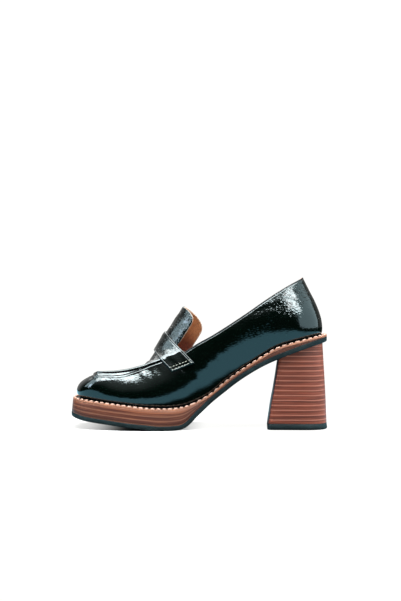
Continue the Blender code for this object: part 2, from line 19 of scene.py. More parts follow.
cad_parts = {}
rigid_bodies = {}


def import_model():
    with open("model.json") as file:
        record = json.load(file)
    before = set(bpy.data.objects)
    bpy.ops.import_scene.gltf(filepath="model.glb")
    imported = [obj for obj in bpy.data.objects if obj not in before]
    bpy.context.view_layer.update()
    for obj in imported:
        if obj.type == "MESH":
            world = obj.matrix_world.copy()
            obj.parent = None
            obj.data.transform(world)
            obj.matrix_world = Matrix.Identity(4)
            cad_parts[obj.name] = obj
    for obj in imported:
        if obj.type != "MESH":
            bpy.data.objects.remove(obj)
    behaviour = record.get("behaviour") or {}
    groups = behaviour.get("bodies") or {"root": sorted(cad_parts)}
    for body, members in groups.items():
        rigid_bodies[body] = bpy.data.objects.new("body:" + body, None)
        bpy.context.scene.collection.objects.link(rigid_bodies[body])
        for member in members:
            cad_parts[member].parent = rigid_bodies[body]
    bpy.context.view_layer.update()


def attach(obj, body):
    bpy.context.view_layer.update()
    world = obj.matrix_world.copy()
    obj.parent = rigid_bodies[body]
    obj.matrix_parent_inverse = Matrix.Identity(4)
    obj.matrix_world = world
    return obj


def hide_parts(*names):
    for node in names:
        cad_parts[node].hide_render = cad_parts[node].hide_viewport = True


LOG = logging.getLogger("loafer_pump")
Faces = list[tuple[int, ...]]
Color = tuple[float, float, float]
Height = Callable[[float], float]


class Side(Enum):
    """Sides of the shoe, by the sign of Y."""

    INNER = -1
    OUTER = 1


class Zone(Enum):
    """Leather panels that carry creases."""

    INNER_WALL = "inner wall"
    OUTER_WALL = "outer wall"
    APRON = "apron"


class Seen(Enum):
    """What a light falls on."""

    BOTH = "everything"
    MIRRORED = "reflections alone"
    MATT = "matt surfaces alone"


def smooth_row(rows: np.ndarray, place: float) -> np.ndarray:
    """Row of a table at a fractional place, on a smooth curve through its rows.

    Args:
        rows: the table.
        place: row number, whole or not.

    Returns:
        The interpolated row.
    """
    last = len(rows) - 1
    place = min(max(place, 0.0), float(last))
    low = min(int(place), last - 1)
    f = place - low
    a, b = rows[low], rows[low + 1]
    before = rows[low - 1] if low > 0 else 2 * a - b
    after = rows[low + 2] if low + 2 <= last else 2 * b - a
    m0, m1 = (b - before) / 2, (after - a) / 2
    return ((2 * f ** 3 - 3 * f ** 2 + 1) * a + (f ** 3 - 2 * f ** 2 + f) * m0
            + (3 * f ** 2 - 2 * f ** 3) * b + (f ** 3 - f ** 2) * m1)


def point_normals(points: np.ndarray, faces: Faces) -> np.ndarray:
    """Unit normals of a mesh's points.

    Args:
        points: the points, one row each.
        faces: triangles and quads.

    Returns:
        One unit vector per point.
    """
    total = np.zeros_like(points)
    for size in (3, 4):
        ring = np.array([f for f in faces if len(f) == size], int).reshape(-1, size)
        if len(ring) == 0:
            continue
        a, b, c, d = (points[ring[:, k]] for k in (0, 1, 2, size - 1))
        flat = np.cross(c - a, d - b) if size == 4 else np.cross(b - a, c - a)
        for k in range(size):
            np.add.at(total, ring[:, k], flat)
    return total / np.maximum(np.linalg.norm(total, axis=1, keepdims=True), 1e-12)


def reach(points: np.ndarray, line: np.ndarray) -> tuple[np.ndarray, np.ndarray]:
    """How far points are from a line of points.

    Args:
        points: where to measure.
        line: the points of an open line.

    Returns:
        The distance of each point, and the share along the line that is nearest to it.
    """
    start, step = line[:-1], line[1:] - line[:-1]
    size = np.maximum((step ** 2).sum(1), 1e-18)
    far = np.empty(len(points))
    share = np.empty(len(points))
    for low in range(0, len(points), 1500):
        block = points[low:low + 1500]
        gap = block[:, None, :] - start[None]
        t = np.clip((gap * step[None]).sum(2) / size, 0.0, 1.0)
        off = np.linalg.norm(gap - t[..., None] * step[None], axis=2)
        best = off.argmin(1)
        rows = np.arange(len(block))
        far[low:low + 1500] = off[rows, best]
        share[low:low + 1500] = (best + t[rows, best]) / len(step)
    return far, share


def steps_between(low: np.ndarray, high: np.ndarray, count: int) -> np.ndarray:
    """Shares from 0 to 1 with given close steps at each end.

    Args:
        low: shares near 0, starting with it.
        high: distances from 1, starting with 0.
        count: even steps between them.

    Returns:
        The rising shares.
    """
    middle = np.linspace(low[-1], 1 - high[-1], count + 1)[1:-1]
    return np.concatenate((low, middle, (1 - high)[::-1]))


def added(name: str, data: bpy.types.ID) -> bpy.types.Object:
    """New object of some data, in the scene."""
    item = bpy.data.objects.new(name, data)
    bpy.context.scene.collection.objects.link(item)
    return item


@dataclass
class Skin:
    """A mesh in the making.

    Attributes:
        points: one row per point.
        faces: rings of point numbers.
        slots: material number of each face, or empty for the first.
        layers: named numbers, one per point.
    """

    points: np.ndarray
    faces: Faces
    slots: list[int] = field(default_factory=list)
    layers: dict[str, np.ndarray] = field(default_factory=dict)

    def piece(self, name: str, *finishes: bpy.types.Material, sharp: float = 50.0) -> bpy.types.Object:
        """Make the object.

        Args:
            name: name of the piece.
            finishes: its materials in slot order.
            sharp: edges bent by more than these degrees stay crisp.

        Returns:
            The object, at the origin.
        """
        mesh = bpy.data.meshes.new(name)
        mesh.from_pydata([tuple(p) for p in self.points], [], self.faces)
        for finish in finishes:
            mesh.materials.append(finish)
        if self.slots:
            mesh.polygons.foreach_set("material_index", self.slots)
        for layer, values in self.layers.items():
            made = mesh.attributes.new(layer, "FLOAT", "POINT")
            made.data.foreach_set("value", np.asarray(values, np.float32))
        mesh.shade_smooth()
        mesh.set_sharp_from_angle(angle=math.radians(sharp))
        return added(name, mesh)


def shell(outer: np.ndarray, inner: np.ndarray, faces: Faces) -> Skin:
    """Close two faces of a sheet with a rim.

    Args:
        outer: points of the outer face.
        inner: points of the inner face, in the same order.
        faces: faces of the outer one, turned outwards.

    Returns:
        The closed sheet, with slots 0 outer face, 1 inner face, 2 rim.
    """
    count = len(outer)
    edges = {(f[k], f[(k + 1) % len(f)]) for f in faces for k in range(len(f))}
    rim = sorted((b, a, a + count, b + count) for a, b in edges if (b, a) not in edges)
    back = [tuple(i + count for i in f[::-1]) for f in faces]
    slots = [0] * len(faces) + [1] * len(back) + [2] * len(rim)
    return Skin(np.vstack((outer, inner)), faces + back + rim, slots)


def grid_faces(rows: int, columns: int) -> Faces:
    """Quads of a grid of points.

    Args:
        rows: points one way.
        columns: points the other way.

    Returns:
        The quads.
    """
    return [(r * columns + c, r * columns + c + 1, (r + 1) * columns + c + 1, (r + 1) * columns + c)
            for r in range(rows - 1) for c in range(columns - 1)]


def band_faces(rings: int, count: int, closed: bool = False) -> Faces:
    """Quads between loops of points.

    Args:
        rings: how many loops.
        count: points in each.
        closed: also join the last loop to the first.

    Returns:
        The quads, loop by loop.
    """
    faces: Faces = []
    for r in range(rings if closed else rings - 1):
        s = (r + 1) % rings
        faces += [(r * count + i, r * count + (i + 1) % count, s * count + (i + 1) % count, s * count + i)
                  for i in range(count)]
    return faces


def cap_faces(rings: int, count: int) -> Faces:
    """Strips across the shoe that close the first and the last loop.

    Args:
        rings: how many loops.
        count: points in each.

    Returns:
        The strips of the bottom, then of the top.
    """
    faces: Faces = []
    for base, down in ((0, True), ((rings - 1) * count, False)):
        for i in range(count // 2):
            ring = [base + k for k in dict.fromkeys((i, i + 1, (count - i - 1) % count, (count - i) % count))]
            faces.append(tuple(ring[::-1] if down else ring))
    return faces


def facing(points: np.ndarray, faces: Faces, sample: int, way: np.ndarray) -> Faces:
    """Turn an open sheet's faces to one side.

    Args:
        points: its points.
        faces: its faces.
        sample: number of the face that is looked at.
        way: direction that this face is to look in.

    Returns:
        The faces, turned round where needed.
    """
    a, b, c, d = (points[i] for i in faces[sample][:4])
    if np.dot(np.cross(c - a, d - b), way) < 0:
        return [f[::-1] for f in faces]
    return faces


def outward(skin: Skin) -> Skin:
    """Turn a closed skin's faces outwards, by its signed volume."""
    total = 0.0
    for ring in skin.faces:
        a = skin.points[ring[0]]
        for k in range(1, len(ring) - 1):
            total += np.dot(a, np.cross(skin.points[ring[k]], skin.points[ring[k + 1]]))
    if total < 0:
        skin.faces = [f[::-1] for f in skin.faces]
    return skin


def swell(distance: np.ndarray | float, width: float, place: np.ndarray | float = 0.0) -> np.ndarray:
    """Soft bump, 1 at a place and fading over a width.

    Args:
        distance: where to read it.
        width: how wide it is.
        place: where it is highest.

    Returns:
        Its height there.
    """
    return np.exp(-((distance - place) / width) ** 2)


def half_round(distance: np.ndarray, radius: float) -> np.ndarray:
    """Share of a sheet's thickness near its rounded edge.

    Args:
        distance: how far from the edge.
        radius: where the sheet has its full thickness.

    Returns:
        Shares from a small one at the edge to 1.
    """
    t = np.clip(distance / radius, 0.0, 1.0)
    return np.maximum(np.sqrt(1 - (1 - t) ** 2), 0.12)


def operator(operation: str, swapped: bool = False) -> Callable:
    """Python operator that adds one Math node.

    Args:
        operation: the node's operation.
        swapped: the other value comes first.

    Returns:
        The method.
    """
    def method(self: "Wire", other: "Wire | float") -> "Wire":
        """The Math node's result."""
        return self.maths(operation, other, self) if swapped else self.maths(operation, self, other)

    return method


class Wire:
    """A shader socket that takes part in Python expressions."""

    __add__, __radd__ = operator("ADD"), operator("ADD", True)
    __sub__, __rsub__ = operator("SUBTRACT"), operator("SUBTRACT", True)
    __mul__, __rmul__ = operator("MULTIPLY"), operator("MULTIPLY", True)
    __truediv__, __rtruediv__ = operator("DIVIDE"), operator("DIVIDE", True)
    __pow__ = operator("POWER")

    def __init__(self, tree: bpy.types.NodeTree, socket: bpy.types.NodeSocket) -> None:
        """Hold one output socket of a tree."""
        self.tree = tree
        self.socket = socket

    def maths(self, operation: str, first: "Wire | float", second: "Wire | float" = 0.0) -> "Wire":
        """One Math node.

        Args:
            operation: its operation.
            first: left value.
            second: right value.

        Returns:
            Its result.
        """
        node = self.tree.nodes.new("ShaderNodeMath")
        node.operation = operation
        plug(self.tree, node.inputs[0], first)
        plug(self.tree, node.inputs[1], second)
        return Wire(self.tree, node.outputs[0])

    def floor(self) -> "Wire":
        """Whole part."""
        return self.maths("FLOOR", self)

    def fract(self) -> "Wire":
        """Part after the whole."""
        return self.maths("FRACT", self)

    def clamp(self) -> "Wire":
        """Kept between 0 and 1."""
        return self.maths("MAXIMUM", self.maths("MINIMUM", self, 1.0), 0.0)

    def between(self, low: float, high: float) -> "Wire":
        """Soft step from 0 at low to 1 at high, either way round."""
        t = ((self - low) / (high - low)).clamp()
        return t * t * (3.0 - 2.0 * t)


def plug(tree: bpy.types.NodeTree, socket: bpy.types.NodeSocket, value: object) -> None:
    """Link a wire to a socket, or set the socket's own value.

    Args:
        tree: the node tree.
        socket: an input.
        value: a wire, number, colour or vector.
    """
    if isinstance(value, Wire):
        tree.links.new(value.socket, socket)
    elif socket.type == "RGBA" and len(value) == 3:
        socket.default_value = (*value, 1.0)
    else:
        socket.default_value = value


class Bench:
    """Workbench for one node tree."""

    def __init__(self, tree: bpy.types.NodeTree) -> None:
        """Start with an empty tree."""
        self.tree = tree
        tree.nodes.clear()

    def node(self, kind: str, settings: dict | None = None, inputs: dict | None = None,
             output: int | str = 0) -> Wire | None:
        """Add any node.

        Args:
            kind: its type.
            settings: its properties.
            inputs: values or wires by the socket's name or number.
            output: socket to hand back.

        Returns:
            That output, where the node has any.
        """
        made = self.tree.nodes.new(kind)
        for key, value in (settings or {}).items():
            setattr(made, key, value)
        for key, value in (inputs or {}).items():
            plug(self.tree, made.inputs[key], value)
        return Wire(self.tree, made.outputs[output]) if made.outputs else None

    def coords(self, stretch: tuple[float, float, float] = (1, 1, 1),
               turn: tuple[float, float, float] = (0, 0, 0)) -> Wire:
        """Object coordinates, stretched and turned."""
        where = self.node("ShaderNodeTexCoord", output="Object")
        return self.node("ShaderNodeMapping", {}, {"Vector": where, "Scale": stretch, "Rotation": turn})

    def number(self, layer: str) -> Wire:
        """A mesh layer's number."""
        return self.node("ShaderNodeAttribute", {"attribute_name": layer}, output="Fac")

    def axes(self, where: Wire) -> list[Wire]:
        """X, Y and Z of a vector."""
        split = self.node("ShaderNodeSeparateXYZ", {}, {0: where})
        return [Wire(self.tree, end) for end in split.socket.node.outputs]

    def joined(self, x: Wire | float, y: Wire | float, z: Wire | float) -> Wire:
        """Vector of three numbers."""
        return self.node("ShaderNodeCombineXYZ", {}, {0: x, 1: y, 2: z})

    def noise(self, where: Wire, scale: float, detail: float = 3.0, rough: float = 0.55,
              bend: float = 0.0) -> Wire:
        """Noise between about 0 and 1."""
        return self.node("ShaderNodeTexNoise", {}, {"Vector": where, "Scale": scale, "Detail": detail,
                                                    "Roughness": rough, "Distortion": bend})

    def mix(self, share: Wire | float, a: Wire | Color, b: Wire | Color, kind: str = "MIX") -> Wire:
        """Colour mixed from a to b."""
        return self.node("ShaderNodeMix", {"data_type": "RGBA", "blend_type": kind},
                         {0: share, 6: a, 7: b}, 2)

    def bump(self, height: Wire, depth: float, strength: float = 1.0) -> Wire:
        """Normal of a fine relief, with its depth in metres."""
        return self.node("ShaderNodeBump", {}, {"Height": height, "Distance": depth, "Strength": strength})

    def surface(self, shader: str, inputs: dict) -> None:
        """Close the tree with one shader."""
        made = self.node(shader, {}, inputs)
        self.node("ShaderNodeOutputMaterial", {}, {"Surface": made})


def bench_for(name: str) -> tuple[bpy.types.Material, Bench]:
    """New material and its bench."""
    material = bpy.data.materials.new(name)
    material.use_nodes = True
    return material, Bench(material.node_tree)


@dataclass(frozen=True)
class PatentLeather:
    """Black patent leather with a soft crinkle under its gloss.

    Attributes:
        name: name of the material.
        color: body colour.
        tint: colour of its reflections.
        gloss: roughness.
        depth: depth of the crinkle, in metres.
        coat: weight of its clear coat.
    """

    name: str = "crinkled patent leather"
    color: Color = (0.0004, 0.0017, 0.0011)
    tint: Color = (0.80, 0.97, 1.0)
    gloss: float = 0.10
    depth: float = 0.00042
    coat: float = 0.35

    def make(self) -> bpy.types.Material:
        """Build the material."""
        material, bench = bench_for(self.name)
        where = bench.coords((1.0, 1.0, 1.5), (0.0, 0.5, 0.0))
        sway = bench.node("ShaderNodeTexNoise", {}, {"Vector": where, "Scale": 140.0, "Detail": 2.0},
                          "Color")
        bent = bench.node("ShaderNodeVectorMath", {"operation": "MULTIPLY_ADD"},
                          {0: sway, 1: (0.0045, 0.0045, 0.0045), 2: where})
        cells = bench.node("ShaderNodeTexVoronoi", {"feature": "DISTANCE_TO_EDGE"},
                           {"Vector": bent, "Scale": 300.0}, "Distance")
        folds = cells.between(0.0, 0.55)
        soft = bench.noise(where, 170.0, 3.0, 0.6, 0.6)
        fine = bench.noise(where, 900.0, 2.0, 0.5)
        strong = bench.number("crinkle")
        height = (folds * 0.45 + soft * 0.75) * strong + fine * 0.035
        spread = bench.noise(where, 90.0, 3.0) * 0.05
        bench.surface("ShaderNodeBsdfPrincipled", {
            "Base Color": self.color, "Roughness": spread + (self.gloss - 0.025), "IOR": 1.5,
            "Specular IOR Level": 0.62, "Specular Tint": self.tint, "Coat Weight": self.coat,
            "Coat Roughness": 0.04, "Normal": bench.bump(height, self.depth)})
        return material


@dataclass(frozen=True)
class GrainLeather:
    """Unpolished leather, for linings, cut edges and the welt. A mesh layer can darken it as painted shade,
    where shade falls deep inside the shoe.

    Attributes:
        name: name of the material.
        light: colour of the high spots.
        dark: colour of the pores.
        rough: roughness.
        pores: pores to the metre.
        depth: depth of the grain, in metres.
    """

    name: str
    light: Color
    dark: Color
    rough: float = 0.55
    pores: float = 900.0
    depth: float = 0.00008

    def make(self) -> bpy.types.Material:
        """Build the material."""
        material, bench = bench_for(self.name)
        where = bench.coords()
        grain = bench.node("ShaderNodeTexVoronoi", {"feature": "F1"},
                           {"Vector": where, "Scale": self.pores}, "Distance")
        patches = bench.noise(where, 55.0, 4.0, 0.6)
        shade = (patches.between(0.3, 0.7) * 0.7 + grain * 0.5).clamp()
        # Painted shade: the colour is darkened towards dark brown where the mesh layer marks the shade deep in
        # the throat.
        painted_shade_tint = bench.mix(bench.number("painted_shade"), (1.0, 1.0, 1.0), (0.30, 0.13, 0.07))
        bench.surface("ShaderNodeBsdfPrincipled", {
            "Base Color": bench.mix(1.0, bench.mix(shade, self.dark, self.light), painted_shade_tint, "MULTIPLY"),
            "Roughness": patches * 0.12 + (self.rough - 0.06), "Specular IOR Level": 0.35,
            "Normal": bench.bump(grain + bench.noise(where, self.pores * 0.4), self.depth)})
        return material


@dataclass(frozen=True)
class StackedWood:
    """Stacked layers with a light line between them, read from the mesh layers run and rise.

    Attributes:
        name: name of the material.
        pitch: height of a layer, in metres.
        base: colour of a layer.
        dark: colour of its dark streaks.
        line: colour of the light lines.
        line_share: share of a layer that its line takes.
        line_power: how strong the line is.
        breast: colour of the heel's front face.
        streak: streaks to the metre up the layers.
        gloss: roughness.
        sink: how much darker the lowest layer is.
        waist: how much darker the thin part behind the forefoot is.
        top: height at which that ends, in metres.
    """

    name: str
    pitch: float
    base: Color
    dark: Color
    line: Color
    line_share: float = 0.22
    line_power: float = 0.8
    breast: Color = (0.035, 0.016, 0.020)
    streak: float = 1500.0
    gloss: float = 0.42
    sink: float = 0.0
    waist: float = 0.0
    top: float = 0.0215

    def make(self) -> bpy.types.Material:
        """Build the material."""
        material, bench = bench_for(self.name)
        run, rise = bench.number("run"), bench.number("rise")
        waver = bench.joined(run, 0.0, rise * 0.3)
        level = (rise + (bench.noise(waver, 24.0, 2.0) - 0.5) * 0.0009) / self.pitch
        part = level.fract()
        flat = bench.joined(run * 26.0, level.floor() * 3.7, rise * self.streak)
        streaks = bench.noise(flat, 1.0, 4.0, 0.62)
        wide = bench.joined(run * 9.0, level.floor() * 5.3, rise * self.streak * 0.22)
        patches = bench.noise(wide, 1.0, 3.0, 0.5)
        layer = bench.node("ShaderNodeTexWhiteNoise", {"noise_dimensions": "1D"},
                           {"W": level.floor() + 0.5}, "Value")
        low = (1.0 - rise / self.top).clamp() * self.sink + run.between(0.165, 0.145) * self.waist
        shade = (streaks.between(0.36, 0.62) * 0.62 + patches.between(0.35, 0.7) * 0.38
                 + layer * 0.14 - 0.06 + low).clamp()
        body = bench.mix(shade, self.base, self.dark)
        edge = (part.between(self.line_share, 0.02) + part.between(0.94, 1.0)).clamp()
        lined = bench.mix(edge * self.line_power * (0.65 + 0.35 * patches), body, self.line)
        color = bench.mix(bench.number("breast"), lined, self.breast)
        relief = streaks * 0.4 - part.between(0.10, 0.0) * 0.6
        bench.surface("ShaderNodeBsdfPrincipled", {
            "Base Color": color, "Roughness": streaks * 0.16 + (self.gloss - 0.06),
            "Specular IOR Level": 0.25, "Normal": bench.bump(relief, 0.00009)})
        return material


@dataclass(frozen=True)
class BlackRubber:
    """Dark sole rubber with a fine pebble and, underneath, shallow ribs.

    Attributes:
        name: name of the material.
        color: its colour.
        worn: colour of the scuffed high spots.
        ribs: ribs to the metre underneath.
    """

    name: str = "sole rubber"
    color: Color = (0.003, 0.011, 0.013)
    worn: Color = (0.010, 0.024, 0.027)
    ribs: float = 250.0

    def make(self) -> bpy.types.Material:
        """Build the material."""
        material, bench = bench_for(self.name)
        where = bench.coords()
        pebble = bench.noise(where, 1300.0, 3.0)
        patches = bench.noise(where, 45.0, 4.0, 0.65)
        wave = (bench.axes(where)[0] * self.ribs).fract()
        rib = wave.between(0.0, 0.12) * wave.between(1.0, 0.88) * bench.number("under")
        bench.surface("ShaderNodeBsdfPrincipled", {
            "Base Color": bench.mix(patches.between(0.4, 0.75), self.color, self.worn),
            "Roughness": patches * 0.2 + 0.45, "Specular IOR Level": 0.16,
            "Normal": bench.bump(pebble * 0.12 + rib, 0.0005)})
        return material


@dataclass(frozen=True)
class Thread:
    """Waxed twisted thread.

    Attributes:
        name: name of the material.
        light: colour of its high spots.
        dark: colour between its strands.
        strands: turns of the twist to the metre.
    """

    name: str
    light: Color
    dark: Color
    strands: float = 1500.0

    def make(self) -> bpy.types.Material:
        """Build the material."""
        material, bench = bench_for(self.name)
        where = bench.coords((1.0, 1.0, 1.0), (0.3, 0.8, 0.5))
        twist = (bench.axes(where)[0] * self.strands).fract()
        strand = twist.between(0.0, 0.5) * twist.between(1.0, 0.5)
        patches = bench.noise(where, 120.0, 2.0)
        bench.surface("ShaderNodeBsdfPrincipled", {
            "Base Color": bench.mix((strand * 0.6 + patches * 0.6).clamp(), self.dark, self.light),
            "Roughness": 0.55, "Specular IOR Level": 0.3, "Normal": bench.bump(strand, 0.00006)})
        return material


@dataclass(frozen=True)
class Last:
    """The last and the side view that every piece of the shoe follows.

    Attributes:
        welt_edge: share of the length from the heel, and half widths inner and outer.
        side_view: outsole bottom and welt top at every twentieth of the length.
        quarter: place on the edge, along, widths, heights, belly and brow of the quarters.
        vamp: the same of the vamp, with its crown.
    """

    sole_length: float = 0.2455
    heel_setback: float = 0.030
    ball_width: float = 0.094
    seat_rise: float = 0.0898
    back_height: float = 0.1444
    flare_starts: float = 9.0
    flare_rows: float = 6.0
    outsole_fore: float = 0.0043
    outsole_seat: float = 0.0045
    outsole_thins: tuple[float, float] = (0.42, 0.62)
    welt_thick: float = 0.0015
    wall: float = 0.0018
    foot_lift: float = 0.0012
    welt_margin: float = 0.0050
    waist_margin: float = 0.0024
    waist_place: float = 8.6
    waist_rows: float = 2.2
    crown_fullness: float = 2.3
    toe_brow: float = 0.174
    lower_pull: float = 0.35
    upper_pull: float = 0.30
    welt_edge: tuple = (
        (0.000, 0.000, 0.000), (0.007, 0.106, 0.106), (0.026, 0.207, 0.207), (0.061, 0.287, 0.289),
        (0.110, 0.336, 0.340), (0.167, 0.349, 0.355), (0.232, 0.338, 0.349), (0.301, 0.308, 0.336),
        (0.367, 0.285, 0.336), (0.428, 0.285, 0.355), (0.489, 0.323, 0.398), (0.546, 0.389, 0.447),
        (0.603, 0.453, 0.483), (0.660, 0.489, 0.500), (0.717, 0.498, 0.498), (0.774, 0.483, 0.481),
        (0.831, 0.453, 0.455), (0.884, 0.415, 0.421), (0.925, 0.377, 0.379), (0.959, 0.330, 0.323),
        (0.987, 0.255, 0.239), (1.000, 0.138, 0.117), (1.000, 0.000, 0.000))
    side_view: tuple = (
        (0.927, 1.0000), (0.889, 0.9720), (0.842, 0.9380), (0.792, 0.9020), (0.736, 0.8550),
        (0.672, 0.7760), (0.592, 0.6890), (0.500, 0.5960), (0.393, 0.4920), (0.282, 0.3790),
        (0.152, 0.2970), (0.026, 0.2420), (0.000, 0.2235), (0.000, 0.2235), (0.014, 0.2305),
        (0.026, 0.2445), (0.041, 0.2600), (0.058, 0.2740), (0.073, 0.2900), (0.092, 0.3055),
        (0.124, 0.3230))
    quarter: tuple = (
        (0.0, 0.093, 0.000, 0.000, 1.000, 1.000, 0.042, 0.068),
        (1.2, 0.101, 0.096, 0.096, 0.990, 0.988, 0.042, 0.066),
        (2.3, 0.126, 0.181, 0.181, 0.967, 0.960, 0.044, 0.064),
        (3.6, 0.168, 0.239, 0.239, 0.927, 0.914, 0.047, 0.066),
        (5.0, 0.232, 0.277, 0.282, 0.859, 0.838, 0.050, 0.060),
        (6.4, 0.305, 0.293, 0.309, 0.774, 0.744, 0.060, 0.050),
        (7.8, 0.379, 0.298, 0.324, 0.690, 0.654, 0.070, 0.045),
        (9.1, 0.448, 0.303, 0.335, 0.615, 0.580, 0.075, 0.045),
        (10.2, 0.501, 0.309, 0.338, 0.564, 0.533, 0.070, 0.045),
        (11.1, 0.552, 0.314, 0.335, 0.506, 0.484, 0.060, 0.050))
    vamp: tuple = (
        (11.1, 0.552, 0.314, 0.335, 0.506, 0.484, 0.060, 0.050, 0.647, 0.603),
        (11.7, 0.578, 0.324, 0.340, 0.488, 0.468, 0.055, 0.050, 0.657, 0.569),
        (12.3, 0.607, 0.335, 0.346, 0.466, 0.448, 0.052, 0.052, 0.671, 0.531),
        (12.9, 0.640, 0.342, 0.349, 0.449, 0.426, 0.050, 0.052, 0.688, 0.481),
        (13.6, 0.672, 0.344, 0.349, 0.430, 0.404, 0.050, 0.052, 0.709, 0.434),
        (14.3, 0.705, 0.342, 0.347, 0.410, 0.384, 0.050, 0.050, 0.735, 0.402),
        (15.0, 0.741, 0.338, 0.343, 0.392, 0.366, 0.048, 0.050, 0.766, 0.378),
        (15.8, 0.782, 0.331, 0.336, 0.376, 0.351, 0.046, 0.052, 0.802, 0.363),
        (16.6, 0.823, 0.321, 0.325, 0.366, 0.341, 0.044, 0.062, 0.843, 0.355),
        (17.4, 0.864, 0.306, 0.307, 0.361, 0.337, 0.040, 0.088, 0.884, 0.350),
        (18.4, 0.896, 0.280, 0.276, 0.360, 0.337, 0.036, 0.128, 0.921, 0.345))

    @cached_property
    def quarter_rows(self) -> np.ndarray:
        """The quarters' table."""
        return np.array(self.quarter, float)

    @cached_property
    def vamp_rows(self) -> np.ndarray:
        """The vamp's table."""
        return np.array(self.vamp, float)

    @cached_property
    def side_rows(self) -> np.ndarray:
        """The side view's table."""
        return np.array(self.side_view, float)

    @cached_property
    def edge_rows(self) -> dict[Side, np.ndarray]:
        """The welt edge's table for each side, carried on past the heel and the toe."""
        rows = {}
        for side, column in ((Side.INNER, 1), (Side.OUTER, 2)):
            before = [(r[0], -r[column]) for r in self.welt_edge[1:3]][::-1]
            own = [(r[0], r[column]) for r in self.welt_edge]
            after = [(r[0], -r[column]) for r in self.welt_edge[-3:-1]][::-1]
            rows[side] = np.array(before + own + after) * (self.sole_length, self.ball_width)
        return rows

    @property
    def toe_place(self) -> int:
        """Place of the toe on the welt edge."""
        return len(self.welt_edge) - 1

    def x_at(self, along: float) -> float:
        """X at a share of the length."""
        return self.heel_setback - along * self.sole_length

    def along_at(self, x: float) -> float:
        """Share of the length at X."""
        return (self.heel_setback - x) / self.sole_length

    def side_lines(self, x: float) -> tuple[float, float]:
        """Heights of the outsole's bottom and the welt's top at X."""
        bottom, top = smooth_row(self.side_rows, self.along_at(x) * (len(self.side_rows) - 1))
        return max(0.0, bottom) * self.seat_rise, top * self.seat_rise

    def outsole_bottom(self, x: float) -> float:
        """Height of the outsole's bottom."""
        return self.side_lines(x)[0]

    def outsole_top(self, x: float) -> float:
        """Height of the outsole's top."""
        slope = (self.outsole_bottom(x + 0.002) - self.outsole_bottom(x - 0.002)) / 0.004
        thin, thick = self.outsole_thins
        seat = min(max((thick - self.along_at(x)) / (thick - thin), 0.0), 1.0)
        sheet = self.outsole_fore + (self.outsole_seat - self.outsole_fore) * seat
        return self.outsole_bottom(x) + sheet * math.hypot(1.0, slope)

    def welt_top(self, x: float) -> float:
        """Height of the welt's top."""
        return self.side_lines(x)[1]

    def welt_bottom(self, x: float) -> float:
        """Height of the welt's underside."""
        return self.welt_top(x) - self.welt_thick

    def edge_point(self, place: float, side: Side, inset: float = 0.0) -> tuple[float, float]:
        """Point on the welt edge in plan.

        Args:
            place: place on the edge's table.
            side: side of the shoe.
            inset: distance inside the edge.

        Returns:
            Its X and Y.
        """
        rows = self.edge_rows[side]
        ahead = smooth_row(rows, place + 2.05) - smooth_row(rows, place + 1.95)
        ahead /= np.hypot(*ahead)
        along, width = smooth_row(rows, place + 2) + inset * np.array((ahead[1], -ahead[0]))
        return self.heel_setback - along, side.value * width

    def margin_at(self, place: float, side: Side) -> float:
        """Welt showing outside the upper."""
        waist = swell(place, self.waist_rows, self.waist_place)
        least = self.waist_margin if side is Side.INNER else (self.waist_margin + self.welt_margin) / 2
        return self.welt_margin + (least - self.welt_margin) * waist

    def flare_at(self, place: float) -> float:
        """Share of the forefoot's spread."""
        return min(max((place - self.flare_starts) / self.flare_rows, 0.0), 1.0)

    def lasting_point(self, place: float, side: Side) -> tuple[np.ndarray, np.ndarray]:
        """Lasting edge and its outward direction in plan."""
        inset = self.margin_at(place, side) + self.wall
        x, y = self.edge_point(place, side, inset)
        ox, oy = self.edge_point(place, side, inset - 0.001)
        way = np.array((ox - x, oy - y, 0.0))
        return np.array((x, y, self.welt_top(x) + self.foot_lift)), way / np.linalg.norm(way)

    def wall_row(self, place: float) -> np.ndarray:
        """Row of the wall: 0 to 9 along the quarter, then on along the vamp."""
        last = len(self.quarter_rows) - 1
        if place <= last:
            return smooth_row(self.quarter_rows, place)
        return smooth_row(self.vamp_rows, place - last)[:8]

    def section(self, place: float, side: Side) -> tuple:
        """Foot, top, fullness and outward direction of the wall at one place."""
        row = self.wall_row(place)
        foot, way = self.lasting_point(row[0], side)
        inner = side is Side.INNER
        top = np.array((self.x_at(row[1]), side.value * row[2 if inner else 3] * self.ball_width,
                        row[4 if inner else 5] * self.back_height)) - way * self.wall
        return foot, top, row[6] * self.ball_width, row[7] * self.ball_width, way

    def column(self, section: tuple, shares: np.ndarray) -> np.ndarray:
        """Points up a wall at some shares of its height."""
        foot, top, belly, brow, way = section
        rise = top[2] - foot[2]
        lower = foot + way * belly + np.array((0.0, 0.0, self.lower_pull * rise))
        upper = top + way * brow - np.array((0.0, 0.0, self.upper_pull * rise))
        v = np.asarray(shares)[:, None]
        return (1 - v) ** 3 * foot + 3 * v * (1 - v) ** 2 * lower + 3 * v * v * (1 - v) * upper + v ** 3 * top

    def crown_point(self, place: float) -> np.ndarray:
        """Crown of the last on the centre line."""
        here = smooth_row(self.vamp_rows, place)
        gap = smooth_row(self.vamp_rows, place - 0.1)[8:10] - smooth_row(self.vamp_rows, place + 0.1)[8:10]
        run = np.array((-gap[0] * self.sole_length, gap[1] * self.back_height))
        run /= np.hypot(*run)
        way = np.array((-run[1], run[0])) * (1 if run[0] > 0 else -1)
        return np.array((self.x_at(here[8]) - way[0] * self.wall, 0.0,
                         here[9] * self.back_height - way[1] * self.wall))

    def arch(self, a: np.ndarray, b: np.ndarray, crown: np.ndarray, shares: np.ndarray) -> np.ndarray:
        """Points across the vamp from the inner seam to the outer seam."""
        w = np.asarray(shares)[:, None]
        lift = 1 - np.abs(2 * w - 1) ** self.crown_fullness
        return (1 - w) * a + w * b + lift * (crown - (a + b) / 2)


